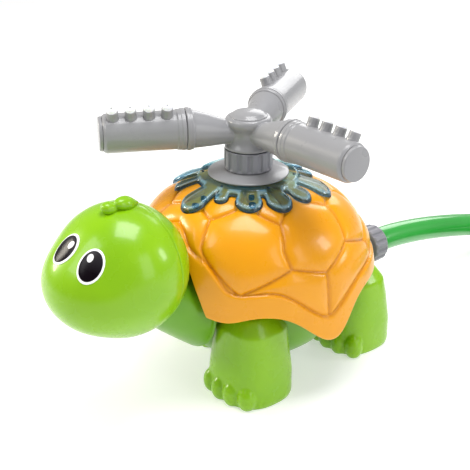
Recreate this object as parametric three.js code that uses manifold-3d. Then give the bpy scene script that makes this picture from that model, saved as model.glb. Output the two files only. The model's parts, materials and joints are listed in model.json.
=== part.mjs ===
// A turtle lawn sprinkler: a garden hose feeds a three-armed spinner that turns on the turtle's back.
// Units are millimetres and +Z is up. While it is being made, the spinner's axis is x = y = 0, the feet stand
// on z = 0 and the turtle faces -Y; the last lines move the origin to the bottom centre of its box.
import * as THREE from 'three';
import { mergeVertices } from 'three/addons/utils/BufferGeometryUtils.js';
import Module from 'manifold-3d';

const wasm = await Module();
wasm.setup();
const { PI, sin, cos, sqrt, exp, abs, min, max, hypot } = Math;

// ---------------------------------------------------------------- driving dimensions
const GAP = 0.3; // between pieces that touch
const WALL = 2.2; // of the moulded shells

const SHELL = { across: 75, along: 82, middle: 9, lean: -12, base: 69, height: 65.2, crown: 2.4, hole: 12 };
const RIM = { tip: 25.5, tipAt: -0.11, tipSpread: 0.19, arch: 46, archHalf: 0.44, flare: 0.06 };
const CHEEK = { dip: 4.5, at: -0.97, spread: 0.13 }; // the small low place at each side of the neck's arch

const BELLY = { across: 59, along: 64, bottom: 13, top: 73, flange: 3, square: 4.5 };
const BOSS = {
  radius: 5, well: 5.8, seat: 36.5, top: 52, screw: 1.5, head: 3.2, headHeight: 2.2, screwTop: 64,
};
const BOSS_PLACES = [[-20, -26], [22, 20], [-13.5, 33.5]];

const HEAD = { y: -106.4, z: 101, radius: 42.4, turn: 0.1, tilt: 0.2, seam: 14 };
const MUZZLE = { forward: 17.5, down: 4, across: 35, deep: 33.5, tall: 28.5 };
const EYE = { aside: 0.3, up: 0.53, wide: 0.185, tall: 0.25, proud: 0.9 };
const NECK = { frontY: -92, frontZ: 84, frontRadius: 23.4, backY: -49.6, backZ: 56, backRadius: 30.4 };

const LEG = { top: 67, toeRadius: 5.6, toeHeight: 7.5, toePitch: 11 };
const FEET = [ // the turtle is walking: its left front leg and its right rear leg are forward
  { name: 'leg_front_left', x: 35, y: -29.4, across: 26.2, along: 24, taper: 0.92, top: 0.81 },
  { name: 'leg_front_right', x: -35, y: 9, across: 26.2, along: 24, taper: 0.92, top: 0.81 },
  { name: 'leg_rear_left', x: 34.5, y: 72, across: 21.5, along: 23.5, taper: 0.9, top: 0.68 },
  { name: 'leg_rear_right', x: -34.5, y: 64, across: 21.5, along: 23.5, taper: 0.9, top: 0.68 },
];

const SPLASH = { inner: 12.8, ring: 33, ringTop: 137.2, lobe: 2, clear: 1.8 };
const LOBES = [ // direction in degrees from +X, reach from the axis, half width at the end
  [-89, 56, 8], [-69, 43, 4], [-42, 47, 7.5], [-13, 48, 7.5], [15, 47, 6.5], [44, 55, 8], [71, 47, 5],
  [98, 54, 8], [124, 47, 6], [151, 55, 8], [178, 46, 5], [207, 54, 7.5], [236, 49, 4.5],
];

const SPIN_Z = 154.7; // where the hub meets the retaining nut
const DISC = { radius: 26.7, bottom: 137.6, edge: 138.8, top: 140.8 };
const RISER = { bore: 4.2, tube: 7, bottom: 118, neck: 10.8, spindle: 5.9, top: 172 };
const NUT = { radius: 15.9, inner: 11.2, bottom: 141.2, ribs: 14, groove: 0.8 };
const HUB = { foot: 15.6, waist: 12.4, shoulder: 15.5, top: 176.2, arm: 169.8, bore: 6.8 };
const ARM = { endAt: 37, end: 12.6, collar: 13.5, collarEnd: 41.4, bore: 4.6, boreDrop: 1.4 };
const ARM_ROOT = [[6, 4.2, 7.4], [15.5, 3.1, 8.8], [26, 1.5, 10.8], [37, 0, 12.6]]; // along, drop, radius
const ARM_TURN = -1.24 * PI / 180; // where the first arm stands at rest
const BARREL = { radius: 12.7, wall: 2, start: 41.8, collar: 13.5, collarEnd: 47.4, end: 94.4, twist: 0.38 };
const CAP = { radius: 10.9, thick: 2.2 };
const NOZZLE = { first: 53.4, pitch: 10.9, radius: 3.7, height: 5.4, bore: 1.3, lean: 0.04, tip: 2.6 };

const INLET = { z: 47.8, inside: 60, flange: 100, end: 124.6, thread: 9.6, bore: 5.4 };
const HOSE_NUT = { radius: 14, start: 118.6, end: 131.6, lip: 2.5, ribs: 14, groove: 1.1 };
const STEM = { radius: 6.4, bore: 4.6, flange: 9.5, thick: 1.8 };
const HOSE = { radius: 9.2, sides: 10 };
const COIL = { x: 101.2, y: 330, radius: 92, lift: 18.7, topTurn: 180, step: 15 };
const COUPLING = { start: 12.5, end: 60, sleeve: 12.4, grip: 15, bore: 8.2, deep: 18 };

// The hose's centreline from the turtle's tail to its coil: straight back, down to the ground, then along it.
const HOSE_ROUTE = [
  [0, 131.9, 47.8], [0, 142, 47.8], [0, 151, 47.3], [0, 160, 46.3], [0, 173, 44.5], [0, 186, 42.3],
  [0, 199, 39.8], [0, 212, 37], [0, 225, 34], [0, 238, 30.7], [0, 251, 27.2], [0, 264, 23.6],
];

// ---------------------------------------------------------------- materials
const plastic = (color, roughness) => new THREE.MeshStandardMaterial({ color, roughness, metalness: 0 });
const ORANGE = plastic(0xf4a51c, 0.35);
const GREEN = plastic(0x8cc62e, 0.35);
const GREY = plastic(0xa6a6a8, 0.45);
const NUT_GREY = plastic(0x8f8f98, 0.5);
const WHITE = plastic(0xf4f4f2, 0.3);
const BLACK = plastic(0x17141c, 0.2);
const RUBBER = plastic(0x222224, 0.8);
const HOSE_GREEN = plastic(0x2e9b3a, 0.4);
const BLUE = plastic(0x3f86c8, 0.15);
const STEEL = new THREE.MeshStandardMaterial({ color: 0xb9bcc0, roughness: 0.35, metalness: 1 });

// ---------------------------------------------------------------- geometry kit
const vec = (x, y, z) => new THREE.Vector3(x, y, z);

// A closed body from points and triangles, turned so that its faces point out.
function body(points, triangles) {
  let volume = 0;
  const normal = vec(0, 0, 0);
  for (const [a, b, c] of triangles) volume += points[a].dot(normal.crossVectors(points[b], points[c]));
  const geometry = new THREE.BufferGeometry();
  const numbers = new Float32Array(points.flatMap((p) => [p.x, p.y, p.z]));
  geometry.setAttribute('position', new THREE.BufferAttribute(numbers, 3));
  geometry.setIndex(triangles.flatMap(([a, b, c]) => (volume < 0 ? [a, c, b] : [a, b, c])));
  return geometry;
}

// The same body with only its positions, shared corners merged and faces pointing out.
function sewn(geometry) {
  const bare = geometry.clone();
  bare.deleteAttribute('normal');
  bare.deleteAttribute('uv');
  const merged = mergeVertices(bare, 1e-3);
  const place = merged.attributes.position;
  const points = [];
  for (let i = 0; i < place.count; i++) points.push(vec(0, 0, 0).fromBufferAttribute(place, i));
  const corners = merged.index.array;
  const triangles = [];
  for (let i = 0; i < corners.length; i += 3) {
    const [a, b, c] = corners.slice(i, i + 3);
    if (a !== b && b !== c && c !== a) triangles.push([a, b, c]);
  }
  return body(points, triangles);
}

function solid(geometry) {
  const { attributes, index } = sewn(geometry);
  const triVerts = new Uint32Array(index.array);
  const mesh = { numProp: 3, vertProperties: attributes.position.array, triVerts };
  return new wasm.Manifold(new wasm.Mesh(mesh));
}

function surface(manifold) {
  const mesh = manifold.getMesh();
  const geometry = new THREE.BufferGeometry();
  geometry.setAttribute('position', new THREE.BufferAttribute(new Float32Array(mesh.vertProperties), 3));
  geometry.setIndex([...mesh.triVerts]);
  return geometry;
}

const join = (first, ...others) => surface(others.reduce((sum, g) => sum.add(solid(g)), solid(first)));
const cut = (first, ...others) => surface(others.reduce((sum, g) => sum.subtract(solid(g)), solid(first)));
const common = (first, other) => surface(solid(first).intersect(solid(other)));

const box = (x0, x1, y0, y1, z0, z1) =>
  new THREE.BoxGeometry(x1 - x0, y1 - y0, z1 - z0).translate((x0 + x1) / 2, (y0 + y1) / 2, (z0 + z1) / 2);

// A body turned about Z from a profile of [radius, height] points that closes on the axis or on itself.
function turned(profile, sides = 24) {
  const points = profile.map(([r, z]) => new THREE.Vector2(r, z));
  if (profile[0][0] > 0) points.push(points[0].clone());
  return sewn(new THREE.LatheGeometry(points, sides).rotateX(PI / 2));
}

// The same, with its axis along +X or along +Y.
const turnedX = (profile, sides) => turned(profile, sides).rotateY(PI / 2);
const turnedY = (profile, sides) => turned(profile, sides).rotateX(-PI / 2);

const rod = (radius, bottom, top, sides = 12) =>
  turned([[0, bottom], [radius, bottom], [radius, top], [0, top]], sides);

// A knurled ring: its outside is pulled in along every other step, so that ribs stand between grooves.
function ribbedRing(outer, inner, length, ribs, groove) {
  const steps = ribs * 4;
  const edge = (u, deep) => {
    const step = Math.round(u * steps) % 4;
    const radius = outer - (deep && step > 1 ? groove : 0);
    return [radius * cos(2 * PI * u), radius * sin(2 * PI * u)];
  };
  const outside = (u, v) => {
    const ends = v < 0.01 || v > 0.99;
    const [x, y] = edge(u, true);
    const trim = ends ? 1 - 0.6 / outer : 1;
    return vec(x * trim, y * trim, length * [0, 0.08, 0.92, 1][Math.round(v * 3)]);
  };
  const inside = (u, v) => vec(inner * cos(2 * PI * u), inner * sin(2 * PI * u), length * v);
  return wall(outside, inside, steps, 3);
}

// A wall between two surfaces of (u, v): u goes round, v runs from one open edge to the other.
function wall(outer, inner, around, along) {
  const points = [];
  const triangles = [];
  for (const side of [outer, inner]) {
    for (let j = 0; j <= along; j++) {
      for (let i = 0; i < around; i++) points.push(side(i / around, j / along));
    }
  }
  const at = (side, i, j) => (side * (along + 1) + j) * around + (i % around);
  const quad = (a, b, c, d) => triangles.push([a, b, c], [a, c, d]);
  for (let i = 0; i < around; i++) {
    for (let j = 0; j < along; j++) {
      quad(at(0, i, j), at(0, i + 1, j), at(0, i + 1, j + 1), at(0, i, j + 1));
      quad(at(1, i, j), at(1, i, j + 1), at(1, i + 1, j + 1), at(1, i + 1, j));
    }
    quad(at(0, i, along), at(0, i + 1, along), at(1, i + 1, along), at(1, i, along));
    quad(at(0, i, 0), at(1, i, 0), at(1, i + 1, 0), at(0, i + 1, 0));
  }
  return body(points, triangles);
}

// A closed body through rings of the same number of points, with a fan at each end.
function loft(rings) {
  const count = rings[0].length;
  const middle = (ring) => ring.reduce((sum, p) => sum.add(p), vec(0, 0, 0)).divideScalar(count);
  const points = [...rings.flat(), middle(rings[0]), middle(rings.at(-1))];
  const last = (rings.length - 1) * count;
  const triangles = [];
  for (let i = 0; i < count; i++) {
    const next = (i + 1) % count;
    for (let j = 0; j < last; j += count) {
      triangles.push([j + i, j + next, j + count + next], [j + i, j + count + next, j + count + i]);
    }
    triangles.push([rings.length * count, next, i], [rings.length * count + 1, last + i, last + next]);
  }
  return body(points, triangles);
}

// A tube of one section along a smooth curve through points; a bore makes it hollow.
function tube(route, radius, bore, sides, steps) {
  const ring = (r) => Array.from({ length: sides }, (_, i) => {
    const angle = 2 * PI * i / sides;
    return new THREE.Vector2(r * cos(angle), r * sin(angle));
  });
  const shape = new THREE.Shape(ring(radius));
  if (bore) shape.holes.push(new THREE.Path(ring(bore)));
  const curve = new THREE.CatmullRomCurve3(route.map((p) => vec(...p)));
  return sewn(new THREE.ExtrudeGeometry(shape, { steps, extrudePath: curve, curveSegments: 1 }));
}

const turtle = new THREE.Group();

function add(name, geometry, material, parent = turtle) {
  const mesh = new THREE.Mesh(geometry, material);
  mesh.name = name;
  parent.add(mesh);
  return mesh;
}

// ---------------------------------------------------------------- shell
// The rim's height: level between the legs and the tail, a low tip at each side, an arch over the neck.
function rimHeight(phi) {
  const near = (at, spread) => exp(-(((phi - at) / spread) ** 2) / 2);
  const bothSides = (at, spread) => near(at, spread) + near(-PI - at, spread) + near(PI - at, spread);
  const tips = RIM.tip * bothSides(RIM.tipAt, RIM.tipSpread);
  const cheeks = CHEEK.dip * bothSides(CHEEK.at, CHEEK.spread);
  const fromFront = abs(phi + PI / 2) / RIM.archHalf;
  const arch = fromFront < 1 ? RIM.arch * (1 - fromFront ** 2.6) ** 0.8 : 0;
  return SHELL.base - tips - cheeks + arch;
}

// A point of the dome: phi goes round from +X, drop is 0 at the top, 1 at the base and more below it.
function dome(phi, drop, inward) {
  const { crown } = SHELL;
  const spread = drop < 1 ? (1 - (1 - drop) ** crown) ** (1 / crown) : 1 + RIM.flare * (drop - 1);
  const x = (SHELL.across - inward) * spread * cos(phi);
  const y = SHELL.middle + SHELL.lean * (1 - drop) + (SHELL.along - inward) * spread * sin(phi);
  return vec(x, y, SHELL.base + (SHELL.height - inward) * (1 - drop));
}

// The height of the dome's outside over a place inside its base: each pass allows for the lean there.
function domeHeight(x, y) {
  let rise = 1;
  for (let pass = 0; pass < 12; pass++) {
    const out = hypot(x / SHELL.across, (y - SHELL.middle - SHELL.lean * rise) / SHELL.along);
    rise = (1 - min(out, 1) ** SHELL.crown) ** (1 / SHELL.crown);
  }
  return SHELL.base + SHELL.height * rise;
}

function shell() {
  const side = (inward) => (u, v) => {
    const phi = 2 * PI * u - PI / 2;
    const lowest = 1 + (SHELL.base - rimHeight(phi > PI ? phi - 2 * PI : phi)) / SHELL.height;
    const first = 0.012;
    return dome(phi, first + (lowest - first) * v ** 1.9, inward);
  };
  const hollow = wall(side(0), side(WALL), 52, 7);
  const hole = rod(SHELL.hole, SHELL.base, SHELL.base + SHELL.height + 9, 24);
  const posts = BOSS_PLACES.map(([x, y]) => rod(BOSS.radius, BOSS.top + GAP, domeHeight(x, y) - 1, 10)
    .translate(x, y, 0));
  const bores = BOSS_PLACES.map(([x, y]) => rod(BOSS.screw + 0.2, BOSS.top - 1, BOSS.screwTop + 1, 8)
    .translate(x, y, 0));
  return cut(join(hollow, ...posts), hole, ...bores);
}

// ---------------------------------------------------------------- belly
// The lower casing's outside as rings of an ellipse, grown to make room for its neighbours.
function bellyRing(out, z, grow = 0) {
  return Array.from({ length: 30 }, (_, i) => {
    const phi = 2 * PI * i / 30;
    const y = SHELL.middle + (BELLY.along * out + grow) * sin(phi);
    return vec((BELLY.across * out + grow) * cos(phi), y, z);
  });
}

const bowlHeight = (out) => BELLY.bottom + (BELLY.top - BELLY.bottom) * (1 - sqrt(1 - out ** BELLY.square));

function bellyHull(grow) {
  const outs = [0.4, 0.68, 0.83, 0.93, 0.98, 1];
  const rings = outs.map((out) => bellyRing(out, bowlHeight(out) - grow, grow));
  return loft([...rings, bellyRing(1, BELLY.top + grow, grow)]);
}

function belly() {
  const outs = [0.4, 0.68, 0.83, 0.93, 0.98];
  const lip = (grow, z) => Array.from({ length: 30 }, (_, i) => {
    const phi = 2 * PI * i / 30;
    const y = SHELL.middle + (SHELL.along - WALL - grow) * sin(phi);
    return vec((SHELL.across - WALL - grow) * cos(phi), y, z);
  });
  const rings = [
    ...outs.map((out) => bellyRing(out, bowlHeight(out))),
    bellyRing(1, BELLY.top - BELLY.flange),
    lip(1.7, BELLY.top - BELLY.flange + 0.2),
    lip(1.7, BELLY.top),
    bellyRing(0.96, BELLY.top),
    ...outs.toReversed().map((out) => bellyRing(out * 0.955, bowlHeight(out) + WALL)),
  ];
  const bosses = BOSS_PLACES.flatMap(([x, y]) => [
    rod(BOSS.radius, BOSS.seat - 1, BOSS.top, 12).translate(x, y, 0),
    rod(BOSS.well, BELLY.bottom + 1, BOSS.seat + 2, 12).translate(x, y, 0),
  ]);
  const tailEnd = INLET.flange - GAP;
  const tail = turnedY([[0, 60], [13, 60], [12.6, 96], [11.6, tailEnd], [0, tailEnd]], 20)
    .translate(0, 0, INLET.z);
  const holes = BOSS_PLACES.flatMap(([x, y]) => [
    rod(BOSS.screw + 0.3, BELLY.bottom, BOSS.top + 1, 8).translate(x, y, 0),
    rod(BOSS.head + 0.4, BELLY.bottom - 1, BOSS.seat, 12).translate(x, y, 0),
  ]);
  const throat = box(-46, 46, -100, -46, BELLY.top - BELLY.flange - 2, BELLY.top + 8);
  const pipe = turnedY([[0, 40], [INLET.thread + 0.4, 40], [INLET.thread + 0.4, 110], [0, 110]], 20)
    .translate(0, 0, INLET.z);
  return cut(join(loft(rings), ...bosses, tail), ...holes, throat, pipe);
}

// ---------------------------------------------------------------- head and neck
// How far the head's surface is from its middle, towards a direction, less an inset.
function headReach(direction, inset) {
  const { forward, down, across, deep, tall } = MUZZLE;
  const size = vec(across - inset, deep - inset, tall - inset);
  const d = direction.clone().divide(size);
  const o = vec(0, forward, down).divide(size);
  const b = d.dot(o);
  const toMuzzle = (-b + sqrt(max(0, b * b - d.lengthSq() * (o.lengthSq() - 1)))) / d.lengthSq();
  const blend = 14;
  return ((HEAD.radius - inset) ** blend + toMuzzle ** blend) ** (1 / blend);
}

function headBall(inset, around, down) {
  const ball = sewn(new THREE.SphereGeometry(1, around, down).rotateX(PI / 2));
  const place = ball.attributes.position;
  const direction = vec(0, 0, 0);
  for (let i = 0; i < place.count; i++) {
    direction.fromBufferAttribute(place, i).normalize();
    const reach = headReach(direction, inset);
    place.setXYZ(i, direction.x * reach, direction.y * reach, direction.z * reach);
  }
  return ball;
}

// A domed oval sticker on the head, its middle aside and above the nose.
function eye(side) {
  const middle = vec(sin(EYE.aside * side) * cos(EYE.up), -cos(EYE.aside) * cos(EYE.up), sin(EYE.up));
  const right = vec(0, 0, 1).cross(middle).normalize();
  const up = middle.clone().cross(right).normalize();
  const skin = (lift, trim) => [0.45, 0.8, 1].map((r) => Array.from({ length: 16 }, (_, i) => {
    const angle = 2 * PI * i / 16;
    const d = middle.clone().addScaledVector(right, EYE.wide * r * trim * cos(angle))
      .addScaledVector(up, EYE.tall * r * trim * sin(angle)).normalize();
    return d.multiplyScalar(headReach(d, 0) + lift(r));
  }));
  const front = skin((r) => GAP + EYE.proud * (1 - 0.6 * r ** 4), 1);
  const back = skin(() => GAP, 1);
  return loft([...back, ...front.toReversed()]);
}

function tuft() {
  const leaf = (x, y, rise, long, thick, lean) => new THREE.SphereGeometry(1, 10, 6)
    .scale(thick, long, thick * 0.9).rotateX(lean).translate(x, y, HEAD.radius + rise);
  return [leaf(-7, -8, 0, 6.4, 4.4, -0.35), leaf(-4.5, 3, 2, 9.2, 5.2, -0.22)];
}

const head = new THREE.Group();
head.position.set(0, HEAD.y, HEAD.z);
head.rotation.set(0, HEAD.tilt, HEAD.turn, 'ZYX');
head.updateMatrixWorld(true);
turtle.add(head);

function headHalves() {
  const skull = cut(headBall(0, 26, 18), headBall(WALL, 16, 12));
  const rear = box(-90, 90, HEAD.seam, 90, -90, 90);
  const front = box(-90, 90, -90, HEAD.seam - GAP, -90, 90);
  const leaves = tuft().map((leaf) => cut(leaf, headBall(WALL / 2, 26, 18)));
  return [join(common(skull, front), ...leaves), common(skull, rear)];
}

function neckCone(grow, inner = 0) {
  const { frontY, frontZ, frontRadius, backY, backZ, backRadius } = NECK;
  const side = (shrink) => (u, v) => {
    const t = v ** 0.9;
    const radius = frontRadius + (backRadius - frontRadius) * v + grow - shrink;
    const y = frontY + (backY - frontY) * v;
    const angle = 2 * PI * u;
    return vec(radius * cos(angle), y, frontZ + (backZ - frontZ) * t + radius * sin(angle));
  };
  if (inner) return wall(side(0), side(inner), 24, 3);
  const rings = [0, 1 / 3, 2 / 3, 1].map((v) => Array.from({ length: 24 }, (_, i) => side(0)(i / 24, v)));
  return loft(rings);
}

function neck() {
  const grownHead = headBall(-GAP, 26, 18).applyMatrix4(head.matrixWorld);
  return cut(neckCone(0, WALL + 0.4), grownHead, bellyHull(GAP));
}

// ---------------------------------------------------------------- legs
function leg({ x, y, across, along, taper, top }) {
  const levels = [
    [0, 0.95], [2, 1], [18, 1], [36, taper], [50, (taper + top) / 2], [60, top - 0.2], [LEG.top, 0.22],
  ];
  const rings = levels.map(([z, wide]) => Array.from({ length: 20 }, (_, i) => {
    const angle = 2 * PI * i / 20;
    const square = (abs(cos(angle)) ** 2.7 + abs(sin(angle)) ** 2.7) ** (-1 / 2.7);
    return vec(across * wide * square * cos(angle), along * wide * square * sin(angle), z);
  }));
  const toes = [-1.5, -0.5, 0.5, 1.5].map((k) => new THREE.SphereGeometry(1, 8, 6)
    .scale(LEG.toeRadius, LEG.toeRadius, LEG.toeHeight)
    .translate(k * LEG.toePitch, -along * (abs(k) > 1 ? 0.88 : 1), LEG.toeHeight * 0.82));
  const ground = box(-60, 60, -60, 60, -20, 0);
  const standing = cut(join(loft(rings), ...toes), ground).translate(x, y, 0);
  return cut(standing, bellyHull(GAP), neckCone(GAP * 2));
}

// ---------------------------------------------------------------- splash collar
// How far the collar reaches in a direction: the ring, or the lobe that points there.
function splashReach(angle) {
  let reach = SPLASH.ring + 1.5;
  for (const [degrees, long, half] of LOBES) {
    let turn = angle - degrees * PI / 180;
    turn -= 2 * PI * Math.round(turn / (2 * PI));
    const middle = long - half;
    const aside = middle * sin(abs(turn));
    const crosses = abs(turn) < 0.5 && aside < half;
    if (crosses) reach = max(reach, middle * cos(turn) + sqrt(half ** 2 - aside ** 2));
  }
  return reach;
}

function splashCollar() {
  const side = (top) => (u, v) => {
    const angle = 2 * PI * u;
    const reach = splashReach(angle);
    const steps = [SPLASH.inner, SPLASH.ring, SPLASH.ring + 1.4, (SPLASH.ring + reach) / 2, reach];
    const r = steps[Math.round(v * 4)];
    const [x, y] = [r * cos(angle), r * sin(angle)];
    const ground = domeHeight(x, y) + SPLASH.clear;
    if (!top) return vec(x, y, ground);
    return vec(x, y, v < 0.3 ? max(SPLASH.ringTop, ground + 1) : ground + SPLASH.lobe);
  };
  return wall(side(true), side(false), 78, 4);
}

// ---------------------------------------------------------------- riser and spinner
function riser() {
  const { bore, tube: foot, bottom, neck: throat, spindle, top } = RISER;
  return turned([
    [bore, bottom], [foot, bottom], [foot, DISC.bottom], [DISC.radius - 0.6, DISC.bottom],
    [DISC.radius, DISC.bottom + 0.5], [DISC.radius - 0.4, DISC.edge], [NUT.radius, DISC.top],
    [throat, DISC.top], [throat, SPIN_Z - 3], [spindle, SPIN_Z - 3], [spindle, top], [bore, top],
  ], 32);
}

function hub() {
  const { foot, waist, shoulder, top, arm, bore } = HUB;
  const core = turned([
    [0, SPIN_Z + 0.6], [foot, SPIN_Z + 0.6], [foot, SPIN_Z + 2], [13.6, SPIN_Z + 5], [waist, SPIN_Z + 9],
    [12.9, SPIN_Z + 13], [14.6, arm + 0.4], [shoulder, arm + 2.6], [shoulder - 0.5, top - 1.4], [13.6, top],
    [0, top],
  ], 28);
  const cone = loft(ARM_ROOT.map(([along, drop, radius]) => Array.from({ length: 24 }, (_, i) => {
    const angle = 2 * PI * i / 24;
    return vec(along, radius * cos(angle), radius * sin(angle) - drop);
  })));
  const collar = turnedX([
    [0, ARM.endAt - 0.4], [ARM.end, ARM.endAt - 0.4], [ARM.collar, ARM.endAt + 0.6],
    [ARM.collar, ARM.collarEnd], [0, ARM.collarEnd],
  ], 24);
  const branch = join(cone, collar).translate(0, 0, arm);
  const hollow = turnedX([[0, 0], [ARM.bore, 0], [ARM.bore, ARM.collarEnd + 4], [0, ARM.collarEnd + 4]], 12)
    .translate(0, 0, arm - ARM.boreDrop);
  const turns = [0, 1, 2].map((k) => ARM_TURN + k * 2 * PI / 3);
  const arms = turns.map((turn) => branch.clone().rotateZ(turn));
  const bores = turns.map((turn) => hollow.clone().rotateZ(turn));
  return cut(join(core, ...arms), rod(bore, SPIN_Z - 5, arm + 3.6, 20), ...bores);
}

// One arm's barrel with its cap, four nozzles and their tips, in a group whose +X runs along the arm.
function sprayBarrel(number) {
  const arm = new THREE.Group();
  arm.position.z = HUB.arm;
  arm.rotation.z = ARM_TURN + (number - 1) * 2 * PI / 3;
  const twisted = new THREE.Group();
  twisted.rotation.x = -BARREL.twist;
  arm.add(twisted);
  turtle.add(arm);

  const { radius, wall: thick, start, collar, collarEnd, end } = BARREL;
  const pipe = turnedX([
    [radius - thick, start], [collar, start], [collar, collarEnd], [radius, collarEnd + 0.5],
    [radius, end - 1.6],
    [radius - 1.4, end], [radius - thick, end],
  ], 24);
  const places = [0, 1, 2, 3].map((k) => ({ along: NOZZLE.first + k * NOZZLE.pitch, lean: k * NOZZLE.lean }));
  const ports = places.map(({ along }) => rod(NOZZLE.bore, 4, radius + 4, 6).translate(along, 0, 0));
  add(`barrel_${number}`, cut(pipe, ...ports), GREY, twisted);

  const lid = turnedX([
    [0, end + GAP - 3], [radius - thick - GAP, end + GAP - 3], [radius - thick - GAP, end + GAP],
    [CAP.radius + 0.5, end + GAP], [CAP.radius, end + GAP + CAP.thick], [0, end + GAP + CAP.thick],
  ], 20);
  add(`barrel_cap_${number}`, lid, GREY, twisted);

  places.forEach(({ along, lean }, k) => {
    const nozzle = new THREE.Group();
    nozzle.position.x = along;
    nozzle.rotation.y = lean;
    twisted.add(nozzle);
    const foot = radius + GAP + (NOZZLE.radius + 0.3) * sin(lean);
    const top = radius + NOZZLE.height;
    const grip = turned([
      [NOZZLE.bore, foot], [NOZZLE.radius, foot], [NOZZLE.radius, top], [NOZZLE.bore, top],
    ], 10);
    const tip = turned([
      [0.7, top + GAP], [NOZZLE.radius - 0.4, top + GAP], [NOZZLE.radius - 1, top + NOZZLE.tip],
      [0.7, top + NOZZLE.tip],
    ], 8);
    add(`nozzle_${number}_${k + 1}`, grip, GREY, nozzle);
    add(`nozzle_tip_${number}_${k + 1}`, tip, WHITE, nozzle);
  });
}

// ---------------------------------------------------------------- the turtle
add('shell', shell(), ORANGE);
add('belly', belly(), GREEN);
const [headFront, headBack] = headHalves();
add('head_front', headFront, GREEN, head);
add('head_back', headBack, GREEN, head);
add('eye_left', eye(1), BLACK, head);
add('eye_right', eye(-1), BLACK, head);
add('neck', neck(), GREEN);
FEET.forEach((foot) => add(foot.name, leg(foot), GREEN));
BOSS_PLACES.forEach(([x, y], k) => {
  const top = BOSS.seat - GAP;
  const screw = turned([
    [0, top - BOSS.headHeight], [BOSS.head, top - BOSS.headHeight], [BOSS.head, top], [BOSS.screw, top],
    [BOSS.screw, BOSS.screwTop - 2], [0, BOSS.screwTop],
  ], 10);
  add(`belly_screw_${k + 1}`, screw.translate(x, y, 0), STEEL);
});
add('splash_collar', splashCollar(), BLUE);

// ---------------------------------------------------------------- the spinner
add('riser', riser(), GREY);
add('retaining_nut', ribbedRing(NUT.radius, NUT.inner, SPIN_Z - NUT.bottom, NUT.ribs, NUT.groove)
  .translate(0, 0, NUT.bottom), NUT_GREY);
const washer = turned([
  [RISER.spindle + 0.2, SPIN_Z - 2.6], [10.6, SPIN_Z - 2.6], [10.6, SPIN_Z + 0.2],
  [RISER.spindle + 0.2, SPIN_Z + 0.2],
], 20);
add('thrust_washer', washer, WHITE);
add('rotor_hub', hub(), GREY);
const dimple = turned([
  [0, HUB.top + GAP], [12.2, HUB.top + GAP], [12, HUB.top + 1.2], [9.4, HUB.top + 2.6], [5, HUB.top + 3.6],
  [0, HUB.top + 4],
], 28);
add('hub_cap', dimple, GREY);
[1, 2, 3].forEach(sprayBarrel);

// ---------------------------------------------------------------- water inlet
const fitting = turnedY([
  [INLET.bore, INLET.inside], [INLET.thread, INLET.inside], [INLET.thread, INLET.flange],
  [11.4, INLET.flange], [11.4, INLET.flange + 3], [INLET.thread, INLET.flange + 3], [INLET.thread, INLET.end],
  [INLET.bore, INLET.end],
], 24).translate(0, 0, INLET.z);
add('inlet_fitting', fitting, GREY);
const supply = [
  [0, INLET.inside - GAP, INLET.z], [0, 44, INLET.z], [0, 28, INLET.z], [0, 12, 53], [0, 2.5, 66], [0, 0, 82],
  [0, 0, 100], [0, 0, RISER.bottom - GAP],
];
add('supply_tube', tube(supply, RISER.tube, RISER.bore, 10, 11), BLACK);
const seat = turnedY([
  [STEM.bore, INLET.end + GAP], [STEM.flange, INLET.end + GAP], [STEM.flange, INLET.end + 2.1],
  [STEM.bore, INLET.end + 2.1],
], 20);
add('hose_washer', seat.translate(0, 0, INLET.z), RUBBER);
const stemStart = INLET.end + 2.1 + GAP;
const stem = turnedY([
  [STEM.bore, stemStart], [STEM.flange, stemStart], [STEM.flange, stemStart + STEM.thick],
  [STEM.radius, stemStart + STEM.thick], [STEM.radius, HOSE_NUT.end], [STEM.bore, HOSE_NUT.end],
], 20);
add('hose_stem', stem.translate(0, 0, INLET.z), NUT_GREY);
const { radius: across, start: nutStart, end: nutEnd, lip, ribs, groove } = HOSE_NUT;
const skirt = ribbedRing(across, STEM.radius + GAP, nutEnd - nutStart, ribs, groove).rotateX(-PI / 2);
const thread = turnedY([[0, -1], [INLET.thread + GAP, -1], [INLET.thread + GAP, nutEnd - nutStart - lip],
  [0, nutEnd - nutStart - lip]], 24);
add('hose_nut', cut(skirt, thread).translate(0, nutStart, INLET.z), NUT_GREY);

// The frame's origin: under the middle of the turtle without its hose.
const extent = new THREE.Box3().setFromObject(turtle, true);
const middle = extent.getCenter(vec(0, 0, 0));
turtle.position.set(-middle.x, -middle.y, -extent.min.z);

// ---------------------------------------------------------------- hose
const coil = turned([
  [COIL.radius - 2 * HOSE.radius, 0.02], [COIL.radius + 2 * HOSE.radius, 0.02],
  [COIL.radius + 2 * HOSE.radius, 2 * HOSE.radius], [COIL.radius - 2 * HOSE.radius, 2 * HOSE.radius],
], 40);
// Half a turn lies on top and climbs at its end to the coupling, which lies on the coil.
const couplingZ = COIL.lift + COUPLING.grip;
const topTurn = [];
for (let degrees = COIL.topTurn; degrees >= 0; degrees -= COIL.step) {
  const angle = degrees * PI / 180;
  const climb = max(0, 1 - degrees / (3 * COIL.step));
  const z = COIL.lift + HOSE.radius + (COUPLING.grip - HOSE.radius) * climb ** 2 * (3 - 2 * climb);
  topTurn.push([COIL.x + COIL.radius * cos(angle), COIL.y + COIL.radius * sin(angle), z]);
}
const [offX, offY] = topTurn.at(-1);
for (const further of [6, 12]) topTurn.push([offX, offY - further, couplingZ]);
add('hose', tube(HOSE_ROUTE, HOSE.radius, 0, HOSE.sides, 12), HOSE_GREEN);
add('hose_coil', coil.translate(COIL.x, COIL.y, 0), HOSE_GREEN);
add('hose_top_turn', tube(topTurn, HOSE.radius, 0, HOSE.sides, 16), HOSE_GREEN);
const { sleeve, grip, bore, deep, start, end } = COUPLING;
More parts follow.
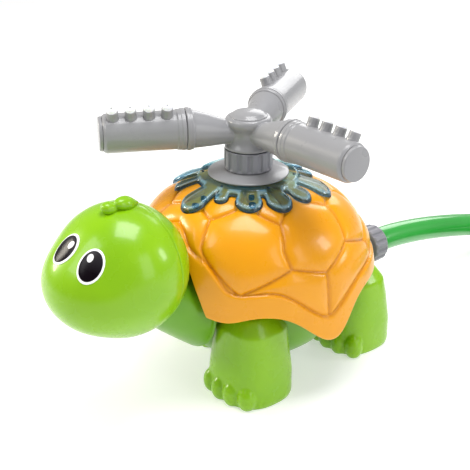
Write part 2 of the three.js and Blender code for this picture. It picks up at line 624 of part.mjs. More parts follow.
const connector = turnedX([
  [0, start], [sleeve, start], [sleeve, start + 14], [grip, start + 17], [grip, end - 10], [sleeve + 1, end],
  [bore, end], [bore, end - deep], [0, end - deep],
], 24).rotateZ(-PI / 2).translate(offX, offY, couplingZ);
add('hose_connector', connector, NUT_GREY);

export default turtle;
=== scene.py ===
"""A turtle lawn sprinkler: the visible surfaces, the hose and the materials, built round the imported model.

Shapes are worked out in millimetres with the spinner's axis at x = y = 0, the ground at z = 0 and the turtle
facing -Y. TO_FRAME turns such points into the frame's metres.
"""
import json
from math import atan2, cos, degrees, exp, hypot, pi, radians, sin, sqrt

import bmesh
import bpy
import numpy as np
from mathutils import Matrix, Vector
from mathutils.kdtree import KDTree


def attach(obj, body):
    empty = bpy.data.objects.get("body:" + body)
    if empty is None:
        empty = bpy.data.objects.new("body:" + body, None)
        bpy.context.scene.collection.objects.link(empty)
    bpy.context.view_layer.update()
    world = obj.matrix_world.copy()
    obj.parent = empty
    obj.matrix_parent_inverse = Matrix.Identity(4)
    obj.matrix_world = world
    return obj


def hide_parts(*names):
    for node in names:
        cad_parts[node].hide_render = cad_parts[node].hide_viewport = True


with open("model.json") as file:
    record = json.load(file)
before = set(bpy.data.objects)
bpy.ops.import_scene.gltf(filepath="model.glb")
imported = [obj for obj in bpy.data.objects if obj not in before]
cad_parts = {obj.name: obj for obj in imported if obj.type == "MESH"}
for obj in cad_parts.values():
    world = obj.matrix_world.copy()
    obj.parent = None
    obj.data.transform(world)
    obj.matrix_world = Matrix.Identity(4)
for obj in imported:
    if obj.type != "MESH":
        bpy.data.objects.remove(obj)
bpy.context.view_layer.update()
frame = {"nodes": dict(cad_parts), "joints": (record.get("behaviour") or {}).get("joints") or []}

MM = 0.001
JOINTS = {joint["name"]: joint for joint in frame["joints"]}
AXIS_X, AXIS_Y = JOINTS["rotor_spin"]["pos_m"][:2]
TO_FRAME = Matrix.Translation((AXIS_X, AXIS_Y, 0)) @ Matrix.Scale(MM, 4)


def turn(axis, angle):
    return Matrix.Rotation(angle, 4, axis)


def shift(x, y, z):
    return Matrix.Translation((x, y, z))


def linked(name, data):
    """A new object in the scene that holds the given data."""
    thing = bpy.data.objects.new(name, data)
    bpy.context.scene.collection.objects.link(thing)
    return thing


# ------------------------------------------------ camera, light and floor
CAMERA = {
    "place": (521.6, -481.4, 406.7), "forward": (-0.6794, 0.6117, -0.4053), "up": (-0.3012, 0.2712, 0.9142),
    "lens": 88.26, "sensor": 36, "far": 20,
}
LIGHTS_AIM = (0, 0, 0.09)
SKY = 0.39


def make_camera():
    forward, up = Vector(CAMERA["forward"]).normalized(), Vector(CAMERA["up"]).normalized()
    right = forward.cross(up).normalized()
    camera = linked("camera", bpy.data.cameras.new("camera"))
    camera.data.sensor_width = CAMERA["sensor"]
    camera.data.lens = CAMERA["lens"]
    camera.data.clip_end = CAMERA["far"]
    turned = Matrix((right, up, -forward)).transposed().to_4x4()
    camera.matrix_world = Matrix.Translation(TO_FRAME @ Vector(CAMERA["place"])) @ turned
    bpy.context.scene.camera = camera


def area_light(name, place, size, power, tint=(1, 1, 1)):
    light = bpy.data.lights.new(name, "AREA")
    light.shape = "RECTANGLE"
    light.size, light.size_y = size
    light.energy = power
    light.color = tint
    lamp = linked(name, light)
    lamp.location = place
    lamp.rotation_euler = (Vector(LIGHTS_AIM) - Vector(place)).to_track_quat("-Z", "Y").to_euler()


def make_studio():
    scene = bpy.context.scene
    scene.view_settings.view_transform = "Standard"
    world = bpy.data.worlds.new("studio")
    scene.world = world
    world.use_nodes = True
    sky = world.node_tree.nodes["Background"]
    sky.inputs["Color"].default_value = (1, 1, 1, 1)
    sky.inputs["Strength"].default_value = SKY
    area_light("key", (-0.25, -0.85, 0.95), (0.5, 0.5), 3.8)
    area_light("window", (-0.8, -0.55, 0.5), (0.2, 0.35), 6.0, (1, 0.93, 0.8))
    area_light("top", (0.1, 0.1, 1.2), (0.6, 0.6), 11)
    area_light("side", (0.95, 0.1, 0.45), (0.35, 0.7), 2.0)
    area_light("sheen", (0.9, 0.95, 0.6), (0.25, 0.4), 3.2)
    area_light("back", (-0.5, 0.95, 0.6), (0.7, 0.5), 4.0)

    far, drop, grey = 6, 0.0002, 0.66
    mesh = new_mesh("floor", [(-far, -far, 0), (far, -far, 0), (far, far, 0), (-far, far, 0)], [(0, 1, 2, 3)])
    floor = linked("floor", mesh)
    floor.location.z = -drop
    m = Nodes("floor")
    m.set(Base_Color=(grey, grey, grey, 1), Roughness=0.6)
    m.set(Emission_Color=(1, 1, 1, 1), Emission_Strength=0.45)
    mesh.materials.append(m.material)


# ------------------------------------------------ materials
def linear(red, green, blue):
    """A display colour of 0 to 255 as the linear colour that shaders take."""
    return tuple((c / 255) ** 2.2 for c in (red, green, blue)) + (1,)


class Nodes:
    """A short way to add nodes and links to a material."""

    def __init__(self, name):
        self.material = bpy.data.materials.new(name)
        self.material.use_nodes = True
        self.tree = self.material.node_tree
        self.shader = self.tree.nodes["Principled BSDF"]

    def feed(self, socket, value):
        """Links a socket to another node's output, or sets it to a plain value."""
        if isinstance(value, bpy.types.NodeSocket):
            self.tree.links.new(value, socket)
        else:
            socket.default_value = value

    def add(self, kind, inputs=(), **values):
        node = self.tree.nodes.new(kind)
        for name, value in values.items():
            setattr(node, name, value)
        for name, value in dict(inputs).items():
            self.feed(node.inputs[name], value)
        return node

    def set(self, **values):
        for name, value in values.items():
            self.feed(self.shader.inputs[name.replace("_", " ")], value)

    def noise(self, scale, detail=2.0, stretch=None):
        where = self.add("ShaderNodeTexCoord").outputs["Object"]
        if stretch:
            where = self.add("ShaderNodeMapping", {"Vector": where, "Scale": stretch}).outputs[0]
        inputs = {"Vector": where, "Scale": scale, "Detail": detail}
        return self.add("ShaderNodeTexNoise", inputs).outputs["Fac"]

    def ramp(self, value, start, end, low=0.0, high=1.0):
        """low where a value is at start or before it, high at end or past it, and in between on the way."""
        inputs = {"Value": value, "From Min": start, "From Max": end, "To Min": low, "To Max": high}
        return self.add("ShaderNodeMapRange", inputs).outputs[0]

    def spread(self, value, low=0.0, high=1.0):
        """Noise, which lies mostly between 0.3 and 0.7, spread between two numbers."""
        return self.ramp(value, 0.3, 0.7, low, high)

    def blend(self, factor, first, second):
        return self.add("ShaderNodeMix", {0: factor, 6: first, 7: second}, data_type="RGBA").outputs[2]

    def attribute(self, name):
        return self.add("ShaderNodeAttribute", attribute_name=name).outputs["Fac"]

    def bump(self, height, strength, distance):
        inputs = {"Height": height, "Strength": strength, "Distance": distance}
        return self.add("ShaderNodeBump", inputs).outputs[0]

    def vector(self, operation, first, second=(0, 0, 0)):
        return self.add("ShaderNodeVectorMath", {0: first, 1: second}, operation=operation).outputs

    def maths(self, operation, first, second):
        return self.add("ShaderNodeMath", {0: first, 1: second}, operation=operation).outputs[0]


def moulded(name, colour, deep, roughness, coat=0.0, soft=0.0, grain=0.04, painted_groove_shade=None):
    """Injection-moulded plastic: a slow drift in its colour, a fine surface texture, a gloss that varies.

    The last argument, when given, is a darker colour for painted shade in the grooves, laid on where the
    mesh's attribute of painted shade is high.
    """
    m = Nodes(name)
    base = m.blend(m.spread(m.noise(22, 3)), linear(*colour), linear(*deep))
    if painted_groove_shade:
        # Painted shade: the colour darkens towards the given colour in the grooves.
        base = m.blend(m.attribute("painted_shade"), base, linear(*painted_groove_shade))
    gloss = m.spread(m.noise(70, 4), roughness - 0.035, roughness + 0.05)
    texture = m.maths("ADD", m.spread(m.noise(1400, 1)), m.noise(160, 2))
    m.set(Base_Color=base, Roughness=gloss, Normal=m.bump(texture, grain, 0.0004))
    m.set(Coat_Weight=coat, Coat_Roughness=0.06, Specular_IOR_Level=0.32)
    m.set(Subsurface_Weight=soft, Subsurface_Scale=0.004, Subsurface_Radius=(1.0, 0.8, 0.3))
    return m.material


def eye_material():
    """A glossy print: a white rim, a black pupil with a painted reflection that makes it lighter towards its
    top, and a white glint.
    """
    m = Nodes("eye_print")
    where = m.add("ShaderNodeUVMap", uv_map="print").outputs[0]
    from_middle = m.vector("LENGTH", m.vector("SUBTRACT", where, (0.5, 0.5, 0))[0])["Value"]
    from_glint = m.vector("LENGTH", m.vector("SUBTRACT", where, (0.37, 0.685, 0))[0])["Value"]
    upward = m.add("ShaderNodeSeparateXYZ", {0: where}).outputs[1]
    white = m.maths("MAXIMUM", m.ramp(from_middle, 0.425, 0.432), m.ramp(from_glint, 0.122, 0.116))
    # Painted reflection: the pupil grows lighter towards its top.
    pupil = m.blend(m.ramp(upward, 0.35, 0.9), linear(18, 10, 18), linear(50, 48, 52))
    m.set(Base_Color=m.blend(white, pupil, linear(252, 252, 252)), Roughness=m.spread(m.noise(90), 0.2, 0.28))
    m.set(Specular_IOR_Level=0.12, Normal=m.bump(m.noise(500), 0.03, 0.0003))
    return m.material


def water_blue():
    """Clear tinted plastic for the splash: glossy, with painted shade as a dark line at its edge and a
    painted pale band just inside it, standing in for light bent through the edge.
    """
    m = Nodes("splash_plastic")
    inside = m.attribute("inside")
    # Painted light from the distance to the edge: a pale band just inside the edge and a dark line at it, for
    # light bent through the edge.
    pale = m.ramp(inside, 2.9, 1.6)
    dark = m.ramp(inside, 1.0, 0.5)
    tint = m.blend(m.spread(m.noise(60, 2)), (0.74, 0.90, 0.88, 1), (0.79, 0.92, 0.92, 1))
    tint = m.blend(dark, m.blend(pale, tint, (0.82, 0.95, 0.99, 1)), (0.22, 0.34, 0.42, 1))
    clear = m.add("ShaderNodeBsdfTransparent", {"Color": tint}).outputs[0]
    skin = m.blend(dark, m.blend(pale, linear(52, 118, 136), linear(140, 208, 246)), linear(12, 30, 52))
    ripple = m.bump(m.noise(130, 2), 0.2, 0.0008)
    m.set(Base_Color=skin, Roughness=m.spread(m.noise(200), 0.06, 0.12), Normal=ripple, Coat_Weight=1.0)
    edge_on = m.add("ShaderNodeLayerWeight", {"Blend": 0.25, "Normal": ripple}).outputs["Facing"]
    seen = m.ramp(edge_on, 0, 1, m.ramp(pale, 0, 1, 0.08, 0.3), 0.42)
    mixed = m.add("ShaderNodeMixShader", {0: seen, 1: clear, 2: m.shader.outputs[0]}).outputs[0]
    m.tree.links.new(mixed, m.tree.nodes["Material Output"].inputs["Surface"])
    return m.material


def hose_vinyl():
    """Garden hose: glossy green with a slow mottling and a faint surface texture."""
    m = Nodes("hose_vinyl")
    base = m.blend(m.spread(m.noise(30, 3)), linear(44, 158, 58), linear(36, 146, 50))
    m.set(Base_Color=base, Roughness=m.spread(m.noise(120), 0.3, 0.38), Coat_Weight=0.7)
    m.set(Normal=m.bump(m.noise(700, 2), 0.04, 0.0003))
    return m.material


def screw_steel():
    """Turned steel, with rings of fine tool marks."""
    m = Nodes("screw_steel")
    base = m.blend(m.spread(m.noise(80)), linear(180, 184, 190), linear(150, 153, 160))
    m.set(Base_Color=base, Metallic=1.0, Roughness=m.spread(m.noise(300), 0.28, 0.42))
    m.set(Normal=m.bump(m.noise(1500, 2, stretch=(1, 1, 0.1)), 0.1, 0.0002))
    return m.material


MATERIALS = {
    # The shell's darker colour in its grooves is painted shade.
    "shell_orange": moulded("shell_plastic", (230, 155, 4), (222, 146, 2), 0.28, coat=0.22, soft=0.04,
                            painted_groove_shade=(180, 98, 2)),
    "turtle_green": moulded("body_plastic", (136, 186, 18), (125, 178, 14), 0.26, coat=0.26, soft=0.04,
                            grain=0.02),
    # The belly and neck: the body's green made darker as painted shade, for the shade that the shell casts on
    # them.
    "body_shade": moulded("body_plastic_painted_shade", (104, 160, 28), (95, 151, 24), 0.32, coat=0.18, soft=0.04),
    "eye_black": eye_material(),
    "splash_blue": water_blue(),
    "splash_peg": moulded("splash_peg_plastic", (14, 28, 44), (10, 22, 36), 0.2, coat=0.2),
    "spinner_grey": moulded("spinner_plastic", (144, 144, 146), (137, 137, 140), 0.3, coat=0.3, grain=0.05),
    "nut_grey": moulded("nut_plastic", (138, 138, 144), (128, 128, 135), 0.42, coat=0.05, grain=0.07),
    "nozzle_white": moulded("nozzle_tip_plastic", (246, 246, 248), (236, 238, 242), 0.25, coat=0.2, soft=0.1),
    "rubber_black": moulded("rubber", (38, 38, 40), (28, 28, 31), 0.7, grain=0.15),
    "washer_white": moulded("washer_plastic", (232, 232, 228), (220, 220, 216), 0.4, coat=0.1, soft=0.05),
    "screw_steel": screw_steel(),
    "hose_green": hose_vinyl(),
}


# ------------------------------------------------ mesh kit
def new_mesh(name, points, faces):
    mesh = bpy.data.meshes.new(name)
    mesh.from_pydata([tuple(p) for p in points], [], [tuple(f) for f in faces])
    return mesh


def piece(name, points, faces, material, rides, replaces, matrix=None, smooth_angle=40):
    """A mesh object from points in millimetres, placed, given its material and riding on its body."""
    points = np.asarray(points, float)
    full = np.array(TO_FRAME @ matrix if matrix else TO_FRAME)
    placed = points @ full[:3, :3].T + full[:3, 3]
    return finish_piece(name, new_mesh(name, placed.tolist(), faces), material, rides, replaces, smooth_angle)


def finish_piece(name, mesh, material, rides, replaces, smooth_angle=40):
    mesh.validate()
    outward(mesh)
    mesh.shade_smooth()
    if smooth_angle:
        mesh.set_sharp_from_angle(angle=radians(smooth_angle))
    mesh.materials.append(MATERIALS[material])
    thing = linked(name, mesh)
    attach(thing, rides)
    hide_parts(*([replaces] if isinstance(replaces, str) else replaces))
    return thing


def outward(mesh):
    """Turns every face of a mesh of closed bodies outwards."""
    work = bmesh.new()
    work.from_mesh(mesh)
    bmesh.ops.recalc_face_normals(work, faces=work.faces)
    if work.calc_volume(signed=True) < 0:
        bmesh.ops.reverse_faces(work, faces=work.faces)
    work.to_mesh(mesh)
    work.free()


def grid_faces(rows, columns, closed_rows=False):
    """Quads over rows of points that close on themselves round each row."""
    i = np.arange(rows if closed_rows else rows - 1)[:, None]
    j = np.arange(columns)[None, :]
    a = i * columns + j
    b = i * columns + (j + 1) % columns
    c = (i + 1) % rows * columns + (j + 1) % columns
    d = (i + 1) % rows * columns + j
    return np.stack([a, b, c, d], -1).reshape(-1, 4).tolist()


def rounded(profile, radius, steps=3, closed=False):
    """A polyline with its corners rounded, as quadratic curves that start a radius away from each corner.

    A point's third number is its own radius.
    """
    result = []
    count = len(profile)
    for k, point in enumerate(profile):
        before, here, after = (np.array(profile[j % count][:2], float) for j in (k - 1, k, k + 1))
        back, ahead = before - here, after - here
        to_back, to_ahead = np.linalg.norm(back), np.linalg.norm(ahead)
        reach = min(point[2] if len(point) > 2 else radius, min(to_back, to_ahead) * 0.48)
        if reach < 0.02 or (k in (0, count - 1) and not closed):
            result.append(tuple(here))
            continue
        start, end = here + back / to_back * reach, here + ahead / to_ahead * reach
        for t in np.arange(steps + 1) / steps:
            result.append(tuple((1 - t) ** 2 * start + 2 * t * (1 - t) * here + t * t * end))
    return result


def refined(profile, longest):
    """The closed profile with its long sides divided."""
    result = []
    for (r0, z0), (r1, z1) in zip(profile, profile[1:] + profile[:1]):
        count = max(int(hypot(r1 - r0, z1 - z0) / longest), 1)
        result += [(r0 + (r1 - r0) * k / count, z0 + (z1 - z0) * k / count) for k in range(count)]
    return result


def round_angles(count):
    return np.arange(count) * 2 * pi / count


def ring(x, y, z):
    """The points of a ring, from lists of x, y and z or one number for all of them."""
    return np.stack(np.broadcast_arrays(x, y, z), -1).astype(float)


def oval(radius, height, steps):
    """The profile of an oval, from its lowest point to its highest."""
    bends = [pi * k / steps for k in range(1, steps)]
    return [(0, -height)] + [(sin(t) * radius, -cos(t) * height) for t in bends] + [(0, height)]


def end_fans(total, count):
    """Triangles from the last two of so many points to the first ring of them and to the last ring."""
    low, high, last = total - 2, total - 1, total - 2 - count
    faces = []
    for k in range(count):
        after = (k + 1) % count
        faces.append((low, after, k))
        faces.append((high, last + k, last + after))
    return faces


def capped(rows):
    """A closed body through rings, with a fan at each end."""
    rows = [np.asarray(r, float) for r in rows]
    count = len(rows[0])
    points = np.concatenate(rows + [rows[0].mean(0)[None], rows[-1].mean(0)[None]])
    return points, grid_faces(len(rows), count) + end_fans(len(points), count)


def middle_ring(ring, share):
    """A ring drawn in towards its middle."""
    middle = ring.mean(0)
    return middle + (ring - middle) * share


def lathe(profile, sides, shape=None):
    """Points and faces of a profile of (radius, height) turned about Z.

    A profile off the axis is closed on itself. shape(angle, radius, height) may change the radius, for ribs.
    """
    solid = profile[0][0] < 1e-6
    inner = profile[1:-1] if solid else profile
    points = []
    for r, z in inner:
        for angle in round_angles(sides):
            own = shape(angle, r, z) if shape else r
            points.append((own * cos(angle), own * sin(angle), z))
    faces = grid_faces(len(inner), sides, closed_rows=not solid)
    if solid:
        points += [(0, 0, profile[0][1]), (0, 0, profile[-1][1])]
        faces += end_fans(len(points), sides)
    return points, faces


def spun(profile, sides, radius=0.3, steps=3, longest=None, shape=None):
    """A profile turned about Z with its corners rounded and, where longest is given, its sides divided."""
    outline = rounded(profile, radius, steps, closed=profile[0][0] > 0)
    return lathe(refined(outline, longest) if longest else outline, sides, shape)


def merged(*parts):
    """Several (points, faces) pairs, or (points, faces, matrix), as one."""
    points, faces = [], []
    for part in parts:
        own = np.asarray(part[0], float)
        if len(part) > 2:
            full = np.array(part[2])
            own = own @ full[:3, :3].T + full[:3, 3]
        faces += [tuple(i + len(points) for i in face) for face in part[1]]
        points += own.tolist()
    return points, faces


def along_x(part):
    points, faces = part
    return [(z, x, y) for x, y, z in points], faces


def along_y(part):
    points, faces = part
    return [(y, z, x) for x, y, z in points], faces


def applied(thing):
    """An object's mesh with its modifiers applied; the object itself goes."""
    ready = bpy.data.meshes.new_from_object(thing.evaluated_get(bpy.context.evaluated_depsgraph_get()))
    bpy.data.objects.remove(thing)
    return ready


def remeshed(name, points, faces, voxel, passes):
    """One closed skin round overlapping bodies, in millimetres, smoothed a little."""
    mesh = new_mesh(name, points, faces)
    outward(mesh)
    thing = linked(name, mesh)
    remesh = thing.modifiers.new("skin", "REMESH")
    remesh.mode = "VOXEL"
    remesh.voxel_size = voxel
    remesh.use_smooth_shade = True
    smooth = thing.modifiers.new("smooth", "SMOOTH")
    smooth.factor = 0.5
    smooth.iterations = passes
    return applied(thing)


def relaxed(mesh, weight, passes):
    """Smooths a mesh where weight(points) says, which is from 0 to 1 for each point."""
    count = len(mesh.vertices)
    co = np.zeros(count * 3)
    mesh.vertices.foreach_get("co", co)
    co = co.reshape(-1, 3)
    edges = np.zeros(len(mesh.edges) * 2, int)
    mesh.edges.foreach_get("vertices", edges)
    a, b = edges.reshape(-1, 2).T
    degree = np.bincount(np.concatenate([a, b]), minlength=count)[:, None]
    share = weight(co)[:, None]
    for _ in range(passes):
        total = np.zeros_like(co)
        np.add.at(total, a, co[b])
        np.add.at(total, b, co[a])
        co += share * 0.6 * (total / degree - co)
    mesh.vertices.foreach_set("co", co.ravel())
    mesh.update()


def cut_by(mesh, points, faces):
    """The mesh with a closed body cut away."""
    tool_mesh = new_mesh("tool", points, faces)
    outward(tool_mesh)
    tool, thing = linked("tool", tool_mesh), linked("cut", mesh)
    change = thing.modifiers.new("cut", "BOOLEAN")
    change.operation = "DIFFERENCE"
    change.solver = "EXACT"
    change.object = tool
    ready = applied(thing)
    bpy.data.objects.remove(tool)
    return ready


def mesh_data(mesh):
    points = np.zeros(len(mesh.vertices) * 3)
    mesh.vertices.foreach_get("co", points)
    return points.reshape(-1, 3), [tuple(face.vertices) for face in mesh.polygons]


# ------------------------------------------------ hose
HOSE_RADIUS = 9.2
HOSE_ROUTE = [
    (0, 131.9, 47.8), (0, 142, 47.8), (0, 151, 47.3), (0, 160, 46.3), (0, 173, 44.5), (0, 186, 42.3),
    (0, 199, 39.8), (0, 212, 37), (0, 225, 34), (0, 238, 30.7), (0, 251, 27.2), (0, 264, 23.6),
    (0, 277, 20.1), (0, 290, 16.9), (0, 303, 13.8), (0, 316, 11),
]
COIL = {"x": 101.2, "y": 330, "wide": 101.2, "narrow": 82.8, "middle": 92, "step": 15, "wound": 900}
COUPLING_Z = 33.7


def ease(t):
    """0 before 0, 1 after 1, and a smooth way between."""
    t = np.clip(t, 0, 1)
    return t * t * (3 - 2 * t)


def coil_point(wound):
    """The hose's middle after so many degrees of its coil: one wide turn, one narrow, half a turn on top."""
    wide, narrow, middle = COIL["wide"], COIL["narrow"], COIL["middle"]
    inward = ease((wound - 300) / 70)
    back = ease((wound - 630) / 90)
    radius = wide + (narrow - wide) * inward + (middle - narrow) * back
    low, hump, rest = HOSE_RADIUS, 28.2, 27.9
    lifted = ease((wound - 618) / 66)
    z = low + (hump - low) * lifted + (rest - hump) * ease((wound - 700) / 60)
    z += (COUPLING_Z - rest) * ease((wound - 855) / 45)
    angle = radians(180 - wound)
    return (COIL["x"] + radius * cos(angle), COIL["y"] + radius * sin(angle), z)


def hose_path():
    turns = [coil_point(w) for w in range(0, COIL["wound"] + 1, COIL["step"])]
    x, y, z = turns[-1]
    return HOSE_ROUTE + turns + [(x, y - 6, z), (x, y - 12, z)]


def make_hose():
    path = [TO_FRAME @ Vector(p) for p in hose_path()]
    curve = bpy.data.curves.new("garden_hose", "CURVE")
    curve.dimensions = "3D"
    curve.bevel_depth = HOSE_RADIUS * MM
    curve.bevel_resolution = 7
    curve.resolution_u = 5
    curve.use_fill_caps = True
    spline = curve.splines.new("BEZIER")
    spline.bezier_points.add(len(path) - 1)
    for point, place in zip(spline.bezier_points, path):
        point.co = place
        point.handle_left_type = point.handle_right_type = "AUTO"
    curve.materials.append(MATERIALS["hose_green"])
    hose = linked("garden_hose", curve)
    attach(hose, "turtle")
    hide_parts("hose", "hose_coil", "hose_top_turn")
    return hose


# ------------------------------------------------ shell
WALL = 2.2
SHELL = {"across": 75, "along": 82, "middle": 9, "lean": -12, "base": 69, "height": 65.2, "crown": 2.4}
RIM = {"tip": 25.5, "tip_at": -0.11, "spread": 0.19, "arch": 46, "arch_half": 0.44, "flare": 0.06}
CHEEK = {"dip": 4.5, "at": -0.97, "spread": 0.13}

# Corners of the scutes on the turtle's left: degrees round from +X, and height.
SCUTES = {
    "front_top": (-80, 127), "front_high": (-67, 123.5), "front_low": (-67, 109), "upper_front": (-49, 128),
    "upper_mid": (-30, 126), "side_high": (-18, 121), "upper_rear": (-8, 126), "side_bend": (-22, 108),
    "side_low": (-21, 97), "mid_low": (-3, 90), "mid_high": (17, 102), "rear_high": (28, 121),
    "over_mid": (15, 127), "rear_bend": (36, 93), "rear_foot": (40, 78), "front_foot": (-56, 94),
    "front_toe": (-49, 84), "tip_left": (-45, 84), "tip": (-6, 58), "rear_top": (45, 124),
    "tail_high": (60, 119), "tail_bend": (62, 101), "tail_foot": (69, 79), "rear_side": (51, 99),
    "front_up": (-84, 131), "upper_a": (-40, 133), "upper_b": (-3, 133), "upper_c": (10, 133),
    "upper_d": (52, 132), "tail_mid": (90, 121),
}
SCUTE_LINES = [
    "front_up front_top front_high upper_front upper_a", "front_high front_low front_foot front_toe",
    "upper_a upper_mid side_high upper_rear upper_b", "side_high side_bend side_low tip_left",
    "side_low mid_low mid_high rear_high", "mid_low tip", "mid_high rear_bend rear_foot",
    "rear_high over_mid upper_c", "rear_high rear_top upper_d", "rear_top tail_high tail_mid",
    "tail_high tail_bend tail_foot", "rear_bend rear_side tail_bend",
]
# The upper edge of the wavy band round the rim, from the neck to the tail.
BAND = [
    (-90, 119), (-81, 116), (-73, 107), (-63, 103), (-56, 92), (-53, 85), (-48, 83), (-43, 83), (-33, 84),
    (-25, 80), (-14, 65), (-7, 58), (0, 63), (13, 75), (24, 79), (35, 80), (60, 80), (90, 80),
]


def rim_height(phi):
    def both_sides(at, spread):
        return sum(exp(-(((phi - place) / spread) ** 2) / 2) for place in (at, -pi - at, pi - at))

    tips = RIM["tip"] * both_sides(RIM["tip_at"], RIM["spread"])
    cheeks = CHEEK["dip"] * both_sides(CHEEK["at"], CHEEK["spread"])
    off_front = abs(phi + pi / 2) / RIM["arch_half"]
    arch = RIM["arch"] * (1 - off_front**2.6) ** 0.8 if off_front < 1 else 0
    return SHELL["base"] - tips - cheeks + arch


def dome(phi, drop, inward=0.0):
    """A point of the shell: drop is 0 at the top, 1 at the base and more below it."""
    crown = SHELL["crown"]
    if drop < 1:
        spread = (1 - (1 - drop) ** crown) ** (1 / crown)
    else:
        spread = 1 + RIM["flare"] * (drop - 1)
    x = (SHELL["across"] - inward) * spread * cos(phi)
    y = SHELL["middle"] + SHELL["lean"] * (1 - drop) + (SHELL["along"] - inward) * spread * sin(phi)
    return x, y, SHELL["base"] + (SHELL["height"] - inward) * (1 - drop)


def dome_height(x, y):
    """The height of the smooth shell over a place inside its base."""
    rise = np.ones(np.shape(x))
    for _ in range(12):
        out = np.hypot(x / SHELL["across"], (y - SHELL["middle"] - SHELL["lean"] * rise) / SHELL["along"])
        rise = (1 - np.minimum(out, 1) ** SHELL["crown"]) ** (1 / SHELL["crown"])
    return SHELL["base"] + SHELL["height"] * rise


def on_dome(angle, z):
    return dome(radians(angle), 1 - (z - SHELL["base"]) / SHELL["height"])


def traced(corners, step=0.7):
    """Points on the shell along straight lines between (degrees, height) corners."""
    points = []
    for (a0, z0), (a1, z1) in zip(corners, corners[1:]):
        long = (Vector(on_dome(a0, z0)) - Vector(on_dome(a1, z1))).length
        count = max(int(long / step), 1)
        for k in range(count + 1):
            t = k / count
            points.append(on_dome(a0 + (a1 - a0) * t, z0 + (z1 - z0) * t))
    return points


def tree_of(points):
    tree = KDTree(len(points))
    for k, p in enumerate(points):
        tree.insert(p, k)
    tree.balance()
    return tree


def traced_twice(corners):
    """traced() on the turtle's left and again on its right."""
    return traced(corners) + traced([(-180 - angle, z) for angle, z in corners])


def softened(corners, rounds=2):
    """A polyline with its corners cut again and again, so that it bends softly; its ends stay."""
    for _ in range(rounds):
        result = [corners[0]]
        for (a0, z0), (a1, z1) in zip(corners, corners[1:]):
            result.append((0.75 * a0 + 0.25 * a1, 0.75 * z0 + 0.25 * z1))
            result.append((0.25 * a0 + 0.75 * a1, 0.25 * z0 + 0.75 * z1))
        corners = result + [corners[-1]]
    return corners


def shell_relief():
    """A function of a shell point: how far it stands out from the dome, and how much painted shade it gets in
    the grooves and along the band's edge.
    """
    grooves = []
    for line in SCUTE_LINES:
        grooves += traced_twice([SCUTES[name] for name in line.split()])
    edge = softened(BAND)
    groove_tree, band_tree = tree_of(grooves), tree_of(traced_twice(edge))
    edge_angles, edge_heights = zip(*edge)

    def relief(phi, point):
        to_groove = groove_tree.find(point)[2]
        to_band = band_tree.find(point)[2]
        angle = degrees(atan2(sin(phi), cos(phi)))
        if angle > 90 or angle < -90:
            angle = -180 - angle
            angle += 360 if angle < -90 else 0
        # Below the band's edge the band stands out, with painted shade along that edge.
        if point[2] < np.interp(angle, edge_angles, edge_heights):
            return 2.0 * (1 - exp(-((to_band / 0.8) ** 2))) - 0.3, 0.3 * exp(-((to_band / 0.6) ** 2))
        nearest = min(to_groove, to_band)
        line = exp(-((to_groove / 0.9) ** 2)) + 0.6 * exp(-((to_band / 1.1) ** 2))
        # Painted shade: darkest along the grooves and along the band's edge.
        painted_shade = max(0.5 * exp(-((to_groove / 0.75) ** 2)), 0.45 * exp(-((to_band / 0.8) ** 2)))
        return 2.1 * (1 - exp(-((nearest / 4.2) ** 1.15))) - line - 0.3, painted_shade

    return relief


def make_shell():
    """The shell's casing: scutes and grooves outside, a smooth dome inside, and a round lip between them."""
    around, down, inner_rows, lip_rows, top = 560, 150, 14, 6, 0.012
    relief = shell_relief()
    outer = np.zeros((down, around, 3))
    stand = np.zeros((down, around))
    painted_shade_amount = np.zeros((down, around))
    lows = np.zeros(around)
    phis = round_angles(around) - pi / 2
    for i, phi in enumerate(phis):
        lows[i] = 1 + (SHELL["base"] - rim_height(phi - 2 * pi if phi > pi else phi)) / SHELL["height"]
        for j in range(down):
            t = j / (down - 1)
            drop = top + (lows[i] - top) * t**1.6
            outer[j, i] = dome(phi, drop)
            stand[j, i], painted_shade_amount[j, i] = relief(phi, outer[j, i])
    across = np.roll(outer, -1, 1) - np.roll(outer, 1, 1)
    along = np.gradient(outer, axis=0)
    normal = np.cross(along, across)
    normal /= np.linalg.norm(normal, axis=2, keepdims=True) + 1e-12
    normal *= np.sign((normal * (outer - np.array([0, SHELL["middle"], 60]))).sum(2, keepdims=True))
    skin = outer + normal * stand[..., None]

    inner = []
    for up in np.linspace(0, 1, inner_rows):
        inner.append([dome(phi, max(low + (0.02 - low) * up, 0.02), WALL) for phi, low in zip(phis, lows)])
    inner = np.array(inner)
    lip = []
    first, last = skin[-1], inner[0]
    mid = (first + last) / 2
    half = (first - last) / 2
    wide = np.linalg.norm(half, axis=1, keepdims=True)
    for k in range(1, lip_rows):
        angle = pi * k / lip_rows
        lip.append(mid + half * cos(angle) + np.array([0, 0, -1]) * wide * sin(angle) * 0.9)
    rows = np.concatenate([skin, np.array(lip), inner])
    faces = grid_faces(len(rows), around, closed_rows=True)
    points = rows.reshape(-1, 3)
    casing = piece("turtle_shell", points, faces, "shell_orange", "turtle", "shell", smooth_angle=0)
    # The painted shade of the grooves, on the outer skin's points, for the material.
    painted_groove_shade = np.zeros(rows.shape[:2], np.float32)
    painted_groove_shade[:down] = painted_shade_amount
    casing.data.attributes.new("painted_shade", "FLOAT", "POINT").data.foreach_set("value", painted_groove_shade.ravel())


# ------------------------------------------------ belly and neck
BELLY = {"across": 59, "along": 64, "bottom": 13, "top": 73, "square": 4.5}
NECK = {"front": (-92, 84, 23.4), "back": (-49.6, 56, 30.4), "ends": 0.88}
SCREW_PLACES = [(-20, -26), (22, 20), (-13.5, 33.5)]
INLET_Z = 47.8


def bowl_height(out):
    return BELLY["bottom"] + (BELLY["top"] - BELLY["bottom"]) * (1 - sqrt(max(0, 1 - out ** BELLY["square"])))


